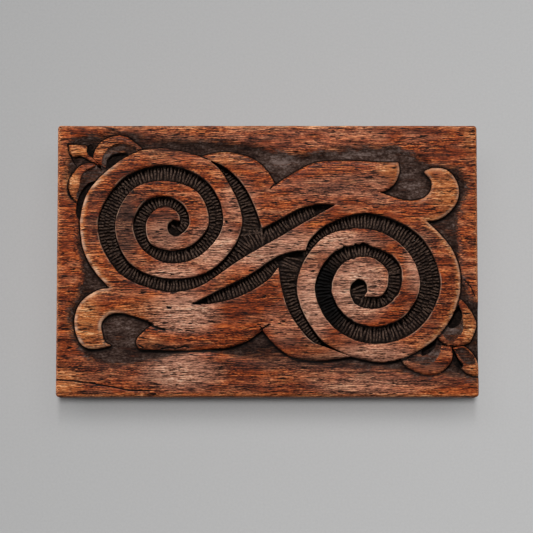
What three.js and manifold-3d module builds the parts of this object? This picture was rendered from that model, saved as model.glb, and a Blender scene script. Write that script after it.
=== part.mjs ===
// A carved hardwood box with a hinged lid. Millimetres, +Z up, +X along the box, +Y towards the hinges.
// The origin is the middle of the underside.
import * as THREE from 'three';
import { mergeVertices } from 'three/addons/utils/BufferGeometryUtils.js';
import Module from 'manifold-3d';

const wasm = await Module();
wasm.setup();

// Box body
const boxLength = 200;
const boxWidth = 126;
const boxHeight = 60;
const wallThickness = 10;
const cornerRebate = 5;
const bottomThickness = 8;
const bottomRebate = 5;

// Lid
const lidThickness = 14;
const lidOverhang = 5;
const lidCornerRadius = 1.5;

// Carving
const grooveDepth = 4;
const groundDepth = 2.8;
const hollowDepth = 1.6;
const groundSlope = 2.5;
const carvingStep = 2.6;

// Hinges
const hingeEdge = 40;
const hingeLength = 32;
const leafWidth = 8;
const leafThickness = 1.2;
const leafInset = 0.15;
const knuckleCount = 5;
const knuckleRadius = 1.75;
const pinRadius = 0.8;

// Screws of the hinges
const screwsPerLeaf = 3;
const screwSpacing = 11;
const screwLength = 8;
const screwHeadRadius = 1.9;
const screwHeadHeight = 1;
const screwShankRadius = 0.9;
const screwPointLength = 1.5;

// Wooden pegs
const cornerPegsPerCorner = 3;
const cornerPegRadius = 2;
const cornerPegLength = 25;
const cornerPegEdge = 12;
const bottomPegRadius = 1.5;
const bottomPegLength = 22;
const bottomPegsPerLongSide = 3;
const bottomPegEdge = 30;

// Clearances
const movingGap = 0.3;
const fastenerGap = 0.15;
const cutOver = 1;

// Sides of the round pieces
const pegSides = 12;
const screwSides = 12;
const barrelSides = 16;
const cornerSides = 4;

// Sizes that follow
const lidLength = boxLength + 2 * lidOverhang;
const lidWidth = boxWidth + 2 * lidOverhang;
const sideWallLength = boxWidth - 2 * cornerRebate;
const barrelClear = knuckleRadius + movingGap;
const hingeAxisY = boxWidth / 2 + barrelClear;
const hingeAxisZ = boxHeight;
const leafDepth = leafInset + leafThickness;
const leafRow = barrelClear + leafWidth / 2;
const knucklePitch = hingeLength / knuckleCount;

const lidWood = new THREE.MeshStandardMaterial({ color: 0x7a4a35, roughness: 0.55, metalness: 0 });
const bodyWood = new THREE.MeshStandardMaterial({ color: 0x6e402c, roughness: 0.6, metalness: 0 });
const pegWood = new THREE.MeshStandardMaterial({ color: 0x4a2c20, roughness: 0.65, metalness: 0 });
const brass = new THREE.MeshStandardMaterial({ color: 0xb08d4f, roughness: 0.35, metalness: 1 });

// Solids: a closed geometry becomes a solid that can be joined and cut, and comes back as a geometry.

function solidOf(geometry) {
  const bare = geometry.clone();
  bare.deleteAttribute('normal');
  bare.deleteAttribute('uv');
  const merged = mergeVertices(bare, 1e-4);
  return new wasm.Manifold(new wasm.Mesh({
    numProp: 3,
    vertProperties: new Float32Array(merged.attributes.position.array),
    triVerts: new Uint32Array(merged.index.array),
  }));
}

function geometryOf(solid) {
  const mesh = solid.getMesh();
  const geometry = new THREE.BufferGeometry();
  geometry.setAttribute('position', new THREE.BufferAttribute(new Float32Array(mesh.vertProperties), 3));
  geometry.setIndex(new THREE.BufferAttribute(new Uint32Array(mesh.triVerts), 1));
  geometry.computeVertexNormals();
  return geometry;
}

function block(x0, x1, y0, y1, z0, z1) {
  const geometry = new THREE.BoxGeometry(x1 - x0, y1 - y0, z1 - z0);
  geometry.translate((x0 + x1) / 2, (y0 + y1) / 2, (z0 + z1) / 2);
  return solidOf(geometry);
}

// A round bar along Z, from its foot upwards.
function bar(radius, length, sides, topRadius = radius) {
  const geometry = new THREE.CylinderGeometry(topRadius, radius, length, sides);
  geometry.rotateX(Math.PI / 2);
  geometry.translate(0, 0, length / 2);
  return geometry;
}

function addPiece(parent, name, geometry, material, x = 0, y = 0, z = 0) {
  const mesh = new THREE.Mesh(geometry, material);
  mesh.name = name;
  mesh.position.set(x, y, z);
  parent.add(mesh);
  return mesh;
}

// Carved outlines. Their points are millimetres from the middle of a lid of this drawn size, seen from
// above, and stretch with the lid. A run is a smooth curve through its points, and runs meet in corners.

const drawnLength = 210;
const drawnWidth = 136;
const leftEye = [-49.5, 18.5];
const rightEye = [52, -13];

// Points round an eye, one for each radius, at even turns of angle.
function turns(eye, firstAngle, stepAngle, radii) {
  return radii.map((radius, i) => {
    const angle = THREE.MathUtils.degToRad(firstAngle + i * stepAngle);
    return [eye[0] + radius * Math.cos(angle), eye[1] + radius * Math.sin(angle)];
  });
}

function outline(...runs) {
  const points = [];
  runs.forEach((run, i) => {
    const corner = runs[(i + 1) % runs.length][0];
    const curve = new THREE.CatmullRomCurve3(
      [...run, corner].map(([x, y]) => new THREE.Vector3(
        x * lidLength / drawnLength, y * lidWidth / drawnWidth, 0)),
      false, 'centripetal');
    const steps = Math.max(1, Math.round(curve.getLength() / carvingStep));
    curve.getSpacedPoints(steps).slice(0, -1).forEach((p) => points.push(new THREE.Vector2(p.x, p.y)));
  });
  return new THREE.Shape(points);
}

// A cutter straight down into the lid's face, which is at height 0 here.
function straightCut(shape, depth) {
  const geometry = new THREE.ExtrudeGeometry(shape, { depth: depth + cutOver, bevelEnabled: false });
  geometry.translate(0, 0, -depth);
  return solidOf(geometry);
}

// The figure: two spirals on one slanting band, two pairs of leaves, and a hook beside each outer leaf.
const figure = outline(
  // left spiral, from the upper middle round to the lower left
  [[-33.5, 52.5], [-43.5, 55.2], [-53.5, 56.5], [-63, 55.5], [-73.5, 50.5], [-83.5, 42.2], [-89.5, 35],
    [-92.7, 26], [-93.6, 17.5], [-91.5, 5], [-86.5, -4.5]],
  // left hook, outer side and inner side
  [[-78.5, -13.7], [-83.5, -14.5], [-90, -18], [-94.5, -23.5], [-96, -30.5], [-94.5, -38], [-91, -43],
    [-85, -43.8]],
  [[-75.5, -42], [-80, -41], [-82.5, -35.5], [-82.5, -31], [-79, -27], [-73.5, -26], [-63.5, -28.5]],
  // lower leaf
  [[-56, -31.5], [-61, -35], [-65.2, -40.5], [-63.5, -43.6], [-55, -44.4], [-38.5, -44.5], [-22.5, -43.6],
    [-12.5, -41], [-5.5, -37]],
  // lower lobe, and the right spiral from the bottom round to the upper right
  [[-2.5, -34.5], [4.5, -42.5], [12, -47.8], [20, -49.6], [29, -49.8], [39, -48.2]],
  [[42.5, -48], [56.5, -50.5], [67, -48.7], [76, -44.4], [84, -38.5], [91, -29.5], [95, -20], [96.3, -12],
    [95.5, -3], [92, 6], [86.5, 13]],
  // right hook, outer side and inner side
  [[79.5, 20], [85, 20.8], [90.5, 24], [94.5, 29], [95.8, 35.5], [93.5, 42.2], [89, 46], [82.5, 46.5]],
  [[78.5, 44.8], [82.2, 40], [81.5, 34.5], [76.5, 30.8], [68.5, 30.5], [60.5, 32.8]],
  // upper right leaf
  [[55, 34.7], [59, 35.3], [64, 39.5], [66, 45.5], [65.5, 49.3], [56.5, 49.5], [36.5, 50.2], [24, 49.2],
    [13, 43.8]],
  // upper middle leaf
  [[4, 38], [0, 45], [-6, 50.5], [-13, 53.4], [-22, 54.6]],
);

// The deep groove that winds out of the left eye, runs along the band and turns back up beside the leaf.
const leftGroove = outline(
  [[-43.6, 20.1], [-47, 20.5], [-49.5, 19], [-50, 16.3], [-49, 13.6], [-46, 12.1], [-42, 14],
    ...turns(leftEye, 0, 45, [10.7, 12, 14, 16.3, 17.8, 18.2, 19.8, 22.6, 27.5, 29, 29.8, 32.5, 35.5, 34.9, 34.3]),
    [-38.5, -14.5], [-31.5, -11.8], [-13.5, 0.5], [6.5, 12], [19, 19.4]],
  [[33, 28.3], [26.5, 28.5], [16.5, 26.5], [6.5, 21.3]],
  [[-2.5, 16.3], [-4.5, 22.5], [-8.5, 32.5], [-14.5, 41.5], [-22.5, 48]],
  [[-30, 51],
    ...turns(leftEye, 45, -45, [37.2, 36.8, 31.5, 27.3, 27.2, 26.4, 24.7, 21.4, 21.4, 20, 15.4, 13, 12.8, 11,
      9.5, 8.4, 7])],
);

// The deep groove that starts in a point under the band and winds into the right eye.
const rightGroove = outline(
  [[-38.3, -21.9], [-26, -15.5], [-8.5, -6.5], [1.5, 0.3], [6.5, 3], [13, 4.8]],
  [[19, 5.2], [20.5, 9.5], [24, 13.8], [31.5, 19.3],
    ...turns(rightEye, 90, -45, [37, 35.3, 34.5, 31.3, 28.7, 28, 28.4, 25.5, 20.3, 18.5, 15, 12.3, 11.4, 12]),
    [41.2, -15.5], [42.2, -11.2], [46, -9.2], [49.5, -11.3], [49.9, -15]],
  [[48.3, -17.7],
    ...turns(rightEye, 270, 45, [4.9, 6.3, 7.7, 11, 14.3, 17.8, 19.9, 19.2, 19.7, 21.5, 24, 25.2, 28.5, 34.3,
      37.2, 36.2])],
  [[42.5, -48.3], [30.5, -43.8], [22.5, -40.5], [16.5, -34.5], [10.5, -25], [7, -14]],
  [[5.5, -3.5], [0.5, -9.5], [-12, -17.3], [-26, -21.3]],
);

// Corner petals beside each spiral: whole petals, then what is hollowed out of them. Each outline closes
// under the figure, which is left standing.
const petals = [
  outline([[-87, 51], [-84.8, 57.5], [-79.5, 61.5], [-72.5, 62.2], [-67, 59.5]], [[-63, 55.5], [-74, 44]]),
  outline([[-87.5, 48.5], [-93.5, 46.8], [-97.5, 42], [-98.6, 36]], [[-96.5, 30.5], [-88, 30]],
    [[-80, 42], [-84, 46]]),
  outline([[-99.5, 58.5], [-91, 58], [-88.5, 52.5]], [[-85.5, 48.5], [-91.5, 52.8], [-97.5, 52.5]]),
  outline([[95.5, -19], [102, -26], [103.8, -32], [101, -39.5]], [[91.5, -42.8], [84, -38], [88, -28]]),
  outline([[91.5, -43], [91, -50], [85, -55.5], [78, -56.8], [70, -53]], [[66.5, -49.5], [76, -42]]),
  outline([[92.5, -43.3], [100, -44], [104, -49], [105, -56], [99, -56], [95, -50]]),
];
const hollows = [
  outline([[-84.5, 49], [-82.5, 55], [-77.5, 58.8], [-71, 57.5], [-65.5, 55.5]], [[-74, 44]]),
  outline([[-88.5, 47], [-92.5, 43.5], [-94, 38], [-95.5, 31.5]], [[-88, 32], [-82, 41]]),
  outline([[95.5, -22], [97.7, -31], [96, -38.5], [90.5, -40.5]], [[86, -36], [91, -27]]),
  outline([[87, -41.5], [85.5, -48.5], [80, -52.5], [69, -49.8]], [[76, -42]]),
];

// Where the sunk ground ends and the rim of the board begins. It runs out past the right edge, beside the
// lower petals.
const groundEdge = outline(
  [[-101.5, 58], [-95.5, 63], [-80, 65.3], [-66, 64], [-50, 60.5], [-34, 59.5], [-18, 60.3], [-2, 58.5],
    [14, 55.5], [30, 57.2], [48, 58.7], [65, 58.7], [76, 54], [88, 50], [97, 48], [102, 41], [102, 32],
    [98.8, 22], [98.2, 8], [99.5, -6], [103, -16]],
  [[107, -24], [107, -59]],
  [[98, -61.5], [84, -59.5], [68, -58.5], [50, -56], [30, -54.5], [12, -52], [-4, -53], [-20, -50.5],
    [-36, -48.8], [-52, -50.5], [-66, -53.5], [-80, -54], [-92, -49.5], [-98.5, -40], [-100, -28], [-97.5, -16],
    [-96, -4], [-99, 10], [-98.5, 22], [-100.5, 34], [-103.2, 46]],
);

function roundedBoard(length, width, radius) {
  const x = length / 2;
  const y = width / 2;
  const shape = new THREE.Shape();
  shape.absarc(x - radius, y - radius, radius, 0, Math.PI / 2);
  shape.absarc(-x + radius, y - radius, radius, Math.PI / 2, Math.PI);
  shape.absarc(-x + radius, -y + radius, radius, Math.PI, 1.5 * Math.PI);
  shape.absarc(x - radius, -y + radius, radius, 1.5 * Math.PI, 2 * Math.PI);
  return shape;
}

// The sunk ground narrows towards its floor, so that its edge slopes up to the rim.
function groundCut() {
  return solidOf(new THREE.ExtrudeGeometry(groundEdge, {
    depth: cutOver,
    bevelThickness: groundDepth,
    bevelSize: groundSlope,
    bevelOffset: -groundSlope,
    bevelSegments: 1,
  }));
}

function carvedFace() {
  const petalBlocks = wasm.Manifold.union(petals.map((petal) => straightCut(petal, groundDepth)));
  const hollowCuts = wasm.Manifold.union(hollows.map((hollow) => straightCut(hollow, hollowDepth)));
  const raised = petalBlocks.subtract(hollowCuts).add(straightCut(figure, groundDepth));
  return groundCut().subtract(raised)
    .add(straightCut(leftGroove, grooveDepth))
    .add(straightCut(rightGroove, grooveDepth));
}

// Places of what repeats

function spread(count, spacing) {
  return Array.from({ length: count }, (_, i) => (i - (count - 1) / 2) * spacing);
}

// Even places along a length, round its middle, with the first and last this far from its ends.
function spreadBetween(count, length, edge) {
  return spread(count, (length - 2 * edge) / (count - 1));
}

const hingeMiddles = spreadBetween(2, boxLength, hingeEdge);

function cornerPegHeights() {
  return spreadBetween(cornerPegsPerCorner, boxHeight, cornerPegEdge).map((z) => z + boxHeight / 2);
}

function bottomPegPlaces() {
  const rowY = sideWallLength / 2 - bottomRebate / 2;
  const endX = boxLength / 2 - wallThickness + bottomRebate / 2;
  const longRows = [-rowY, rowY].flatMap(
    (y) => spreadBetween(bottomPegsPerLongSide, boxLength, bottomPegEdge).map((x) => [x, y]));
  return [...longRows, [-endX, 0], [endX, 0]];
}

// Holes

function cornerPegHoles() {
  const holes = [];
  for (const side of [-1, 1]) {
    for (const end of [-1, 1]) {
      for (const height of cornerPegHeights()) {
        const hole = bar(cornerPegRadius + fastenerGap, cornerPegLength + fastenerGap + cutOver, pegSides);
        hole.rotateX(side * Math.PI / 2);
        hole.translate(end * (boxLength - wallThickness) / 2, side * (boxWidth / 2 + cutOver), height);
        holes.push(solidOf(hole));
      }
    }
  }
  return wasm.Manifold.union(holes);
}

function bottomPegHoles() {
  return wasm.Manifold.union(bottomPegPlaces().map(([x, y]) => {
    const hole = bar(bottomPegRadius + fastenerGap, bottomPegLength + fastenerGap + cutOver, pegSides);
    hole.translate(x, y, -cutOver);
    return solidOf(hole);
  }));
}

// What a leaf and its screws take out of the wood, on the side of the joint that upward names.
function leafRecess(upward) {
  const parts = [];
  for (const middle of hingeMiddles) {
    const half = hingeLength / 2 + fastenerGap;
    const near = hingeAxisY - barrelClear;
    const recess = [hingeAxisZ - cutOver * upward, hingeAxisZ + (leafDepth + fastenerGap) * upward];
    parts.push(block(middle - half, middle + half, near - leafWidth - fastenerGap, near + cutOver,
      Math.min(...recess), Math.max(...recess)));
    for (const x of spread(screwsPerLeaf, screwSpacing)) {
      const pilot = bar(screwShankRadius + fastenerGap, screwLength + leafInset + fastenerGap, screwSides);
      pilot.rotateX(upward > 0 ? 0 : Math.PI);
      pilot.translate(middle + x, hingeAxisY - leafRow, hingeAxisZ);
      parts.push(solidOf(pilot));
    }
  }
  return wasm.Manifold.union(parts);
}

// The lid's underside is notched right to its back edge, so that the knuckles turn clear of it.
function knuckleNotches() {
  return wasm.Manifold.union(hingeMiddles.map((middle) => {
    const half = hingeLength / 2 + movingGap;
    return block(middle - half, middle + half, hingeAxisY - barrelClear, lidWidth / 2 + cutOver,
      hingeAxisZ - cutOver, hingeAxisZ + barrelClear);
  }));
}

// Boards

function longWall(side) {
  const outer = side * boxWidth / 2;
  const inner = side * (boxWidth / 2 - wallThickness);
  const tongue = side * sideWallLength / 2;
  const span = (a, b) => [Math.min(a, b), Math.max(a, b)];
  const endX = boxLength / 2;
  const shoulderX = endX - wallThickness;
  let wall = block(-endX, endX, ...span(outer, inner), 0, boxHeight);
  for (const end of [-1, 1]) {
    wall = wall.subtract(block(...span(end * shoulderX, end * (endX + cutOver)),
      ...span(tongue, inner - side * cutOver), -cutOver, boxHeight + cutOver));
  }
  const ledge = side * (boxWidth / 2 - wallThickness + bottomRebate);
  wall = wall.subtract(block(-shoulderX - cutOver, shoulderX + cutOver, ...span(ledge, inner - side * cutOver),
    -cutOver, bottomThickness));
  return wall.subtract(cornerPegHoles()).subtract(bottomPegHoles());
}

function sideWall(end) {
  const outer = end * boxLength / 2;
  const inner = end * (boxLength / 2 - wallThickness);
  const ledge = end * (boxLength / 2 - wallThickness + bottomRebate);
  const halfLength = sideWallLength / 2;
  const span = (a, b) => [Math.min(a, b), Math.max(a, b)];
  return block(...span(outer, inner), -halfLength, halfLength, 0, boxHeight)
    .subtract(block(...span(ledge, inner - end * cutOver), -halfLength - cutOver, halfLength + cutOver,
      -cutOver, bottomThickness))
    .subtract(cornerPegHoles())
    .subtract(bottomPegHoles());
}

function bottomBoard() {
  const halfLength = boxLength / 2 - wallThickness + bottomRebate;
  const halfWidth = boxWidth / 2 - wallThickness + bottomRebate;
  return block(-halfLength, halfLength, -halfWidth, halfWidth, 0, bottomThickness)
    .subtract(bottomPegHoles());
}

function lidBoard() {
  const blank = new THREE.ExtrudeGeometry(roundedBoard(lidLength, lidWidth, lidCornerRadius),
    { depth: lidThickness, bevelEnabled: false, curveSegments: cornerSides });
  blank.translate(0, 0, boxHeight);
  return solidOf(blank)
    .subtract(carvedFace().translate([0, 0, boxHeight + lidThickness]))
    .subtract(leafRecess(1))
    .subtract(knuckleNotches());
}

// Hinge pieces, round the pin's axis: X along the pin, the leaves towards -Y.

function screwHole() {
  const shank = bar(screwShankRadius + fastenerGap, leafThickness + 2 * cutOver, screwSides);
  shank.translate(0, 0, -cutOver);
  const head = bar(screwShankRadius + fastenerGap, screwHeadHeight, screwSides, screwHeadRadius + fastenerGap);
  head.translate(0, 0, leafThickness - screwHeadHeight);
  return solidOf(shank).add(solidOf(head));
}

// A leaf lies on Z 0 here, with its countersinks up, and is turned over for the lid.
function leaf(ownKnuckles) {
  const half = hingeLength / 2;
  const axisHeight = leafDepth;
  let solid = block(-half, half, -barrelClear - leafWidth, -barrelClear, 0, leafThickness);
  for (const i of ownKnuckles) {
    const x0 = -half + i * knucklePitch + (i > 0 ? movingGap / 2 : 0);
    const x1 = -half + (i + 1) * knucklePitch - (i < knuckleCount - 1 ? movingGap / 2 : 0);
    const barrel = bar(knuckleRadius, x1 - x0, barrelSides);
    barrel.rotateY(Math.PI / 2);
    barrel.translate(x0, 0, axisHeight);
    solid = solid.add(solidOf(barrel)).add(block(x0, x1, -barrelClear - cutOver, 0, 0, leafThickness));
  }
  const bore = bar(pinRadius + movingGap, hingeLength + 2 * cutOver, barrelSides);
  bore.rotateY(Math.PI / 2);
  bore.translate(-half - cutOver, 0, axisHeight);
  solid = solid.subtract(solidOf(bore));
  for (const x of spread(screwsPerLeaf, screwSpacing)) {
    solid = solid.subtract(screwHole().translate([x, -leafRow, 0]));
  }
  return geometryOf(solid);
}

function hingePin() {
  const pin = bar(pinRadius, hingeLength, screwSides);
  pin.rotateY(Math.PI / 2);
  pin.translate(-hingeLength / 2, 0, 0);
  return pin;
}

// A countersunk screw with its head at height 0 and its point down.
function screw() {
  return new THREE.LatheGeometry([
    new THREE.Vector2(0, -screwLength),
    new THREE.Vector2(screwShankRadius, -screwLength + screwPointLength),
    new THREE.Vector2(screwShankRadius, -screwHeadHeight),
    new THREE.Vector2(screwHeadRadius, 0),
    new THREE.Vector2(0, 0),
  ], screwSides).rotateX(Math.PI / 2);
}

// Assembly

const carvedBox = new THREE.Group();
const body = new THREE.Group();
const lid = new THREE.Group();
carvedBox.add(body, lid);

addPiece(body, 'bottom_board', geometryOf(bottomBoard()), bodyWood);
addPiece(body, 'front_wall', geometryOf(longWall(-1)), bodyWood);
addPiece(body, 'back_wall', geometryOf(longWall(1).subtract(leafRecess(-1))), bodyWood);
addPiece(body, 'left_wall', geometryOf(sideWall(-1)), bodyWood);
addPiece(body, 'right_wall', geometryOf(sideWall(1)), bodyWood);
addPiece(lid, 'carved_lid', geometryOf(lidBoard()), lidWood);

for (const [sideName, side] of [['front', -1], ['back', 1]]) {
  for (const [endName, end] of [['left', -1], ['right', 1]]) {
    cornerPegHeights().forEach((height, i) => {
      const peg = addPiece(body, `corner_peg_${sideName}_${endName}_${i + 1}`,
        bar(cornerPegRadius, cornerPegLength, pegSides), pegWood,
        end * (boxLength - wallThickness) / 2, side * boxWidth / 2, height);
      peg.rotation.x = side * Math.PI / 2;
    });
  }
}
bottomPegPlaces().forEach(([x, y], i) => {
  addPiece(body, `bottom_peg_${i + 1}`, bar(bottomPegRadius, bottomPegLength, pegSides), pegWood, x, y, 0);
});

const bodyKnuckles = [0, 2, 4];
const lidKnuckles = [1, 3];
for (const [hingeName, middle] of [['left', hingeMiddles[0]], ['right', hingeMiddles[1]]]) {
  const fixedHalf = new THREE.Group();
  fixedHalf.position.set(middle, hingeAxisY, hingeAxisZ);
  body.add(fixedHalf);
  addPiece(fixedHalf, `${hingeName}_hinge_body_leaf`, leaf(bodyKnuckles), brass, 0, 0, -leafDepth);
  addPiece(fixedHalf, `${hingeName}_hinge_pin`, hingePin(), brass);

  const movingHalf = new THREE.Group();
  movingHalf.position.set(middle, hingeAxisY, hingeAxisZ);
  lid.add(movingHalf);
  const lidLeaf = addPiece(movingHalf, `${hingeName}_hinge_lid_leaf`, leaf(lidKnuckles), brass, 0, 0, leafDepth);
  lidLeaf.rotation.y = Math.PI;

  spread(screwsPerLeaf, screwSpacing).forEach((x, i) => {
    addPiece(fixedHalf, `${hingeName}_hinge_body_screw_${i + 1}`, screw(), brass, x, -leafRow, -leafInset);
    const lidScrew = addPiece(movingHalf, `${hingeName}_hinge_lid_screw_${i + 1}`, screw(), brass,
      x, -leafRow, leafInset);
    lidScrew.rotation.x = Math.PI;
  });
}

export default carvedBox;
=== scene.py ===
import math
from functools import partial
import bmesh
import bpy
import numpy as np
from mathutils import Matrix, Vector
from mathutils.geometry import delaunay_2d_cdt


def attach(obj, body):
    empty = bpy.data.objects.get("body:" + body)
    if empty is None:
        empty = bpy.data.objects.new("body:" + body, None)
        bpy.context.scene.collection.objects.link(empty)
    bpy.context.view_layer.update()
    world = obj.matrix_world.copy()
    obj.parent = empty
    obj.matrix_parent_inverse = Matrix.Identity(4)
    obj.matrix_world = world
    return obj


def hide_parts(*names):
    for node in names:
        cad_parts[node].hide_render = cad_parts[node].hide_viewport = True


# A carved hardwood box with a hinged lid. Shapes are worked out in millimetres and built in metres.
# X runs along the box, Y towards the hinges and Z up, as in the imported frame.

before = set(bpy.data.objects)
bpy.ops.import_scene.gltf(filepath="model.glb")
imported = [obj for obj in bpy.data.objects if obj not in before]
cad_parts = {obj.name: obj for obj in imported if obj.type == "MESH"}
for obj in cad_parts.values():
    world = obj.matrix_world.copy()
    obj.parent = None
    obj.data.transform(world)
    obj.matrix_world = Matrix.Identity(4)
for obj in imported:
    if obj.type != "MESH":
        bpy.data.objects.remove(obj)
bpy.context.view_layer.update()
MM = 0.001

# Sizes of the box, in millimetres
BOX_LENGTH = 200
BOX_WIDTH = 126
BOX_HEIGHT = 60
LID_LENGTH = 210
LID_WIDTH = 136
LID_THICKNESS = 14
LID_TOP = BOX_HEIGHT + LID_THICKNESS

# Depths of the carving and the rounding that knife and wear leave on its edges
GROOVE_DEPTH = 4.0
GROUND_DEPTH = 2.7
GROUND_SLOPE = 4.6
WALL_RUN = 0.4
FIGURE_ROUNDING = 1.7
FLANK_ROUNDING = 2.9
GROOVE_ROUNDING = 0.5
PETAL_ROUNDING = 1.8
PETAL_DROPS = (1.1, 1.1, 1.0, 1.2, 1.2, 1.2)
BOARD_ROUNDING = 1.3
CORNER_RADIUS = 1.6
HOLLOW_DEPTH = 1.5
CAVITY_DEPTH = 3.9
PITCH_OF_CUTS = 1.6
CUT_HEIGHT = 0.95

# Hinges, their screws and the running clearance, in millimetres
HINGE_MIDDLES = (-60, 60)
HINGE_LENGTH = 32
LEAF_WIDTH = 8
LEAF_THICKNESS = 1.2
LEAF_INSET = 0.15
LEAF_FIT = 0.15
KNUCKLES = 5
KNUCKLE_PITCH = HINGE_LENGTH / KNUCKLES
KNUCKLE_RADIUS = 1.75
PIN_RADIUS = 0.8
MOVING_GAP = 0.3
HINGE_AXIS_Y = BOX_WIDTH / 2 + KNUCKLE_RADIUS + MOVING_GAP
SCREW_PLACES = (-11, 0, 11)
SCREW_ROW = KNUCKLE_RADIUS + MOVING_GAP + LEAF_WIDTH / 2
SCREW_LENGTH = 8
SCREW_HEAD_RADIUS = 1.9
SCREW_HEAD_HEIGHT = 1
SCREW_SHANK_RADIUS = 0.9
SCREW_FIT = 0.15

# Pegs, each with its radius and length, and where they are driven in
CORNER_PEG = (2, 25)
CORNER_PEG_INSET = 5
CORNER_PEG_HEIGHTS = (12, 30, 48)
BOTTOM_PEG = (1.5, 22)
BOTTOM_PEG_PLACES = [(x, y) for y in (-55.5, 55.5) for x in (-70, 0, 70)] + [(-92.5, 0), (92.5, 0)]

# Fineness of the lid's mesh: spacings in millimetres, points to each span of a curve, and how far apart rows
# of equal triangles lie, as a share of their side
CELL = 0.25
SPAN_POINTS = 24
EDGE_SPACING = 0.5
RIM_SPACING = 0.8
FILL_SPACING = 1.2
TRIANGLE_ROW = 0.866

# The camera's distance and the width that it sees there, in millimetres
CAMERA_DISTANCE = 1150
WIDTH_SEEN = 265.7


# Carved outlines
# Points are millimetres from the lid's middle, seen from above. A run is a smooth curve through its
# points, and runs meet in corners.

# The middles of the two spirals, and how far their own turns reach from them
LEFT_EYE = (-49.5, 18.5)
RIGHT_EYE = (52.0, -13.0)
REACH_OF_TURNS = 38


def turns(eye, first_angle, step_angle, radii):
    """Points round an eye, one for each radius, at even turns of angle in degrees."""
    points = []
    for i, radius in enumerate(radii):
        angle = math.radians(first_angle + i * step_angle)
        points.append((eye[0] + radius * math.cos(angle), eye[1] + radius * math.sin(angle)))
    return points


FIGURE = [
    # left spiral, from the upper middle round to the lower left
    [(-33.5, 52.5), (-43.5, 55.2), (-53.5, 56.5), (-63, 55.5), (-73.5, 50.5), (-83.5, 42.2), (-89.5, 35),
     (-92.7, 26), (-93.6, 17.5), (-91.5, 5), (-86.5, -4.5)],
    # left hook, outer side and inner side
    [(-78.5, -13.7), (-83.5, -14.5), (-90, -18), (-94.5, -23.5), (-96, -30.5), (-94.5, -38), (-91, -43),
     (-85, -43.8)],
    [(-77.9, -42.3), (-80.6, -40.8), (-82.5, -35.5), (-82.5, -31), (-79, -27), (-73.5, -26), (-63.5, -28.5)],
    # lower leaf
    [(-56, -31.5), (-61, -35), (-65.2, -40.5), (-63.5, -43.6), (-55, -44.4), (-38.5, -44.5), (-22.5, -43.6),
     (-12.5, -41), (-5.5, -37)],
    # lower lobe, and the right spiral from the bottom round to the upper right
    [(-2.5, -34.5), (4.5, -42.5), (12, -47.8), (20, -49.6), (29, -49.8), (39, -48.2)],
    [(42.5, -48), (56.5, -50.5), (67, -48.7), (76, -44.4), (84, -38.5), (91, -29.5), (95, -20), (96.3, -12),
     (95.5, -3), (92, 6), (86.5, 13)],
    # right hook, outer side and inner side
    [(79.5, 20), (85, 20.8), (90.5, 24), (94.5, 29), (95.8, 35.5), (93.5, 42.2), (89, 46), (82.5, 46.5)],
    [(78.5, 44.8), (82.2, 40), (81.5, 34.5), (76.5, 30.8), (68.5, 30.5), (60.5, 32.8)],
    # upper right leaf
    [(55, 34.7), (59, 35.3), (64, 39.5), (66.1, 45)],
    [(65.7, 49.4), (56.5, 49.5), (36.5, 50.2), (24, 49.2), (13, 43.8)],
    # upper middle leaf
    [(4, 38), (0, 45), (-6, 50.5), (-13, 53.4), (-22, 54.6)],
]

# Radii of the two banks of each spiral groove, at even angles round its eye
LEFT_OUTER_BANK = [10.7, 12, 14, 16.3, 17.8, 18.2, 19.8, 22.6, 27.5, 29, 29.8, 32.5, 35.5, 34.9, 34.3]
LEFT_INNER_BANK = [37.2, 36.8, 31.5, 27.3, 27.2, 26.4, 24.7, 21.4, 21.4, 20, 15.4, 13, 12.8, 11, 9.5, 8.4, 7]
RIGHT_OUTER_BANK = [37, 35.3, 34.5, 31.3, 28.7, 28, 28.4, 25.5, 20.3, 18.5, 15, 12.3, 11.4, 12]
RIGHT_INNER_BANK = [4.9, 6.3, 7.7, 11, 14.3, 17.8, 19.9, 19.2, 19.7, 21.5, 24, 25.2, 28.5, 34.3, 37.2, 36.2]

LEFT_GROOVE = [
    [(-43.6, 20.1), (-47, 20.5), (-49.5, 19), (-50, 16.3), (-49, 13.6), (-46, 12.1), (-42, 14),
     *turns(LEFT_EYE, 0, 45, LEFT_OUTER_BANK), (-38.5, -14.5), (-31.5, -11.8), (-13.5, 0.5), (6.5, 12),
     (19, 19.4)],
    [(34.7, 28.2), (26.5, 28.6), (16.5, 26.5), (6.5, 21.3)],
    [(-2.5, 16.3), (-4.5, 22.5), (-8.5, 32.5), (-14.5, 41.5), (-22.5, 48)],
    [(-30, 51), *turns(LEFT_EYE, 45, -45, LEFT_INNER_BANK)],
]

RIGHT_GROOVE = [
    [(-38.3, -21.9), (-26, -15.5), (-8.5, -6.5), (1.5, 0.3), (6.5, 3), (13, 4.8)],
    [(19, 5.2), (20.5, 9.5), (24, 13.8), (31.5, 19.3), *turns(RIGHT_EYE, 90, -45, RIGHT_OUTER_BANK),
     (41.2, -15.5), (42.2, -11.2), (46, -9.2), (49.5, -11.3), (49.9, -15)],
    [(48.3, -17.7), *turns(RIGHT_EYE, 270, 45, RIGHT_INNER_BANK)],
    [(42.5, -48.3), (30.5, -43.8), (22.5, -40.5), (16.5, -34.5), (10.5, -25), (7, -14)],
    [(5.5, -3.5), (0.5, -9.5), (-12, -17.3), (-26, -21.3)],
]

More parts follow.
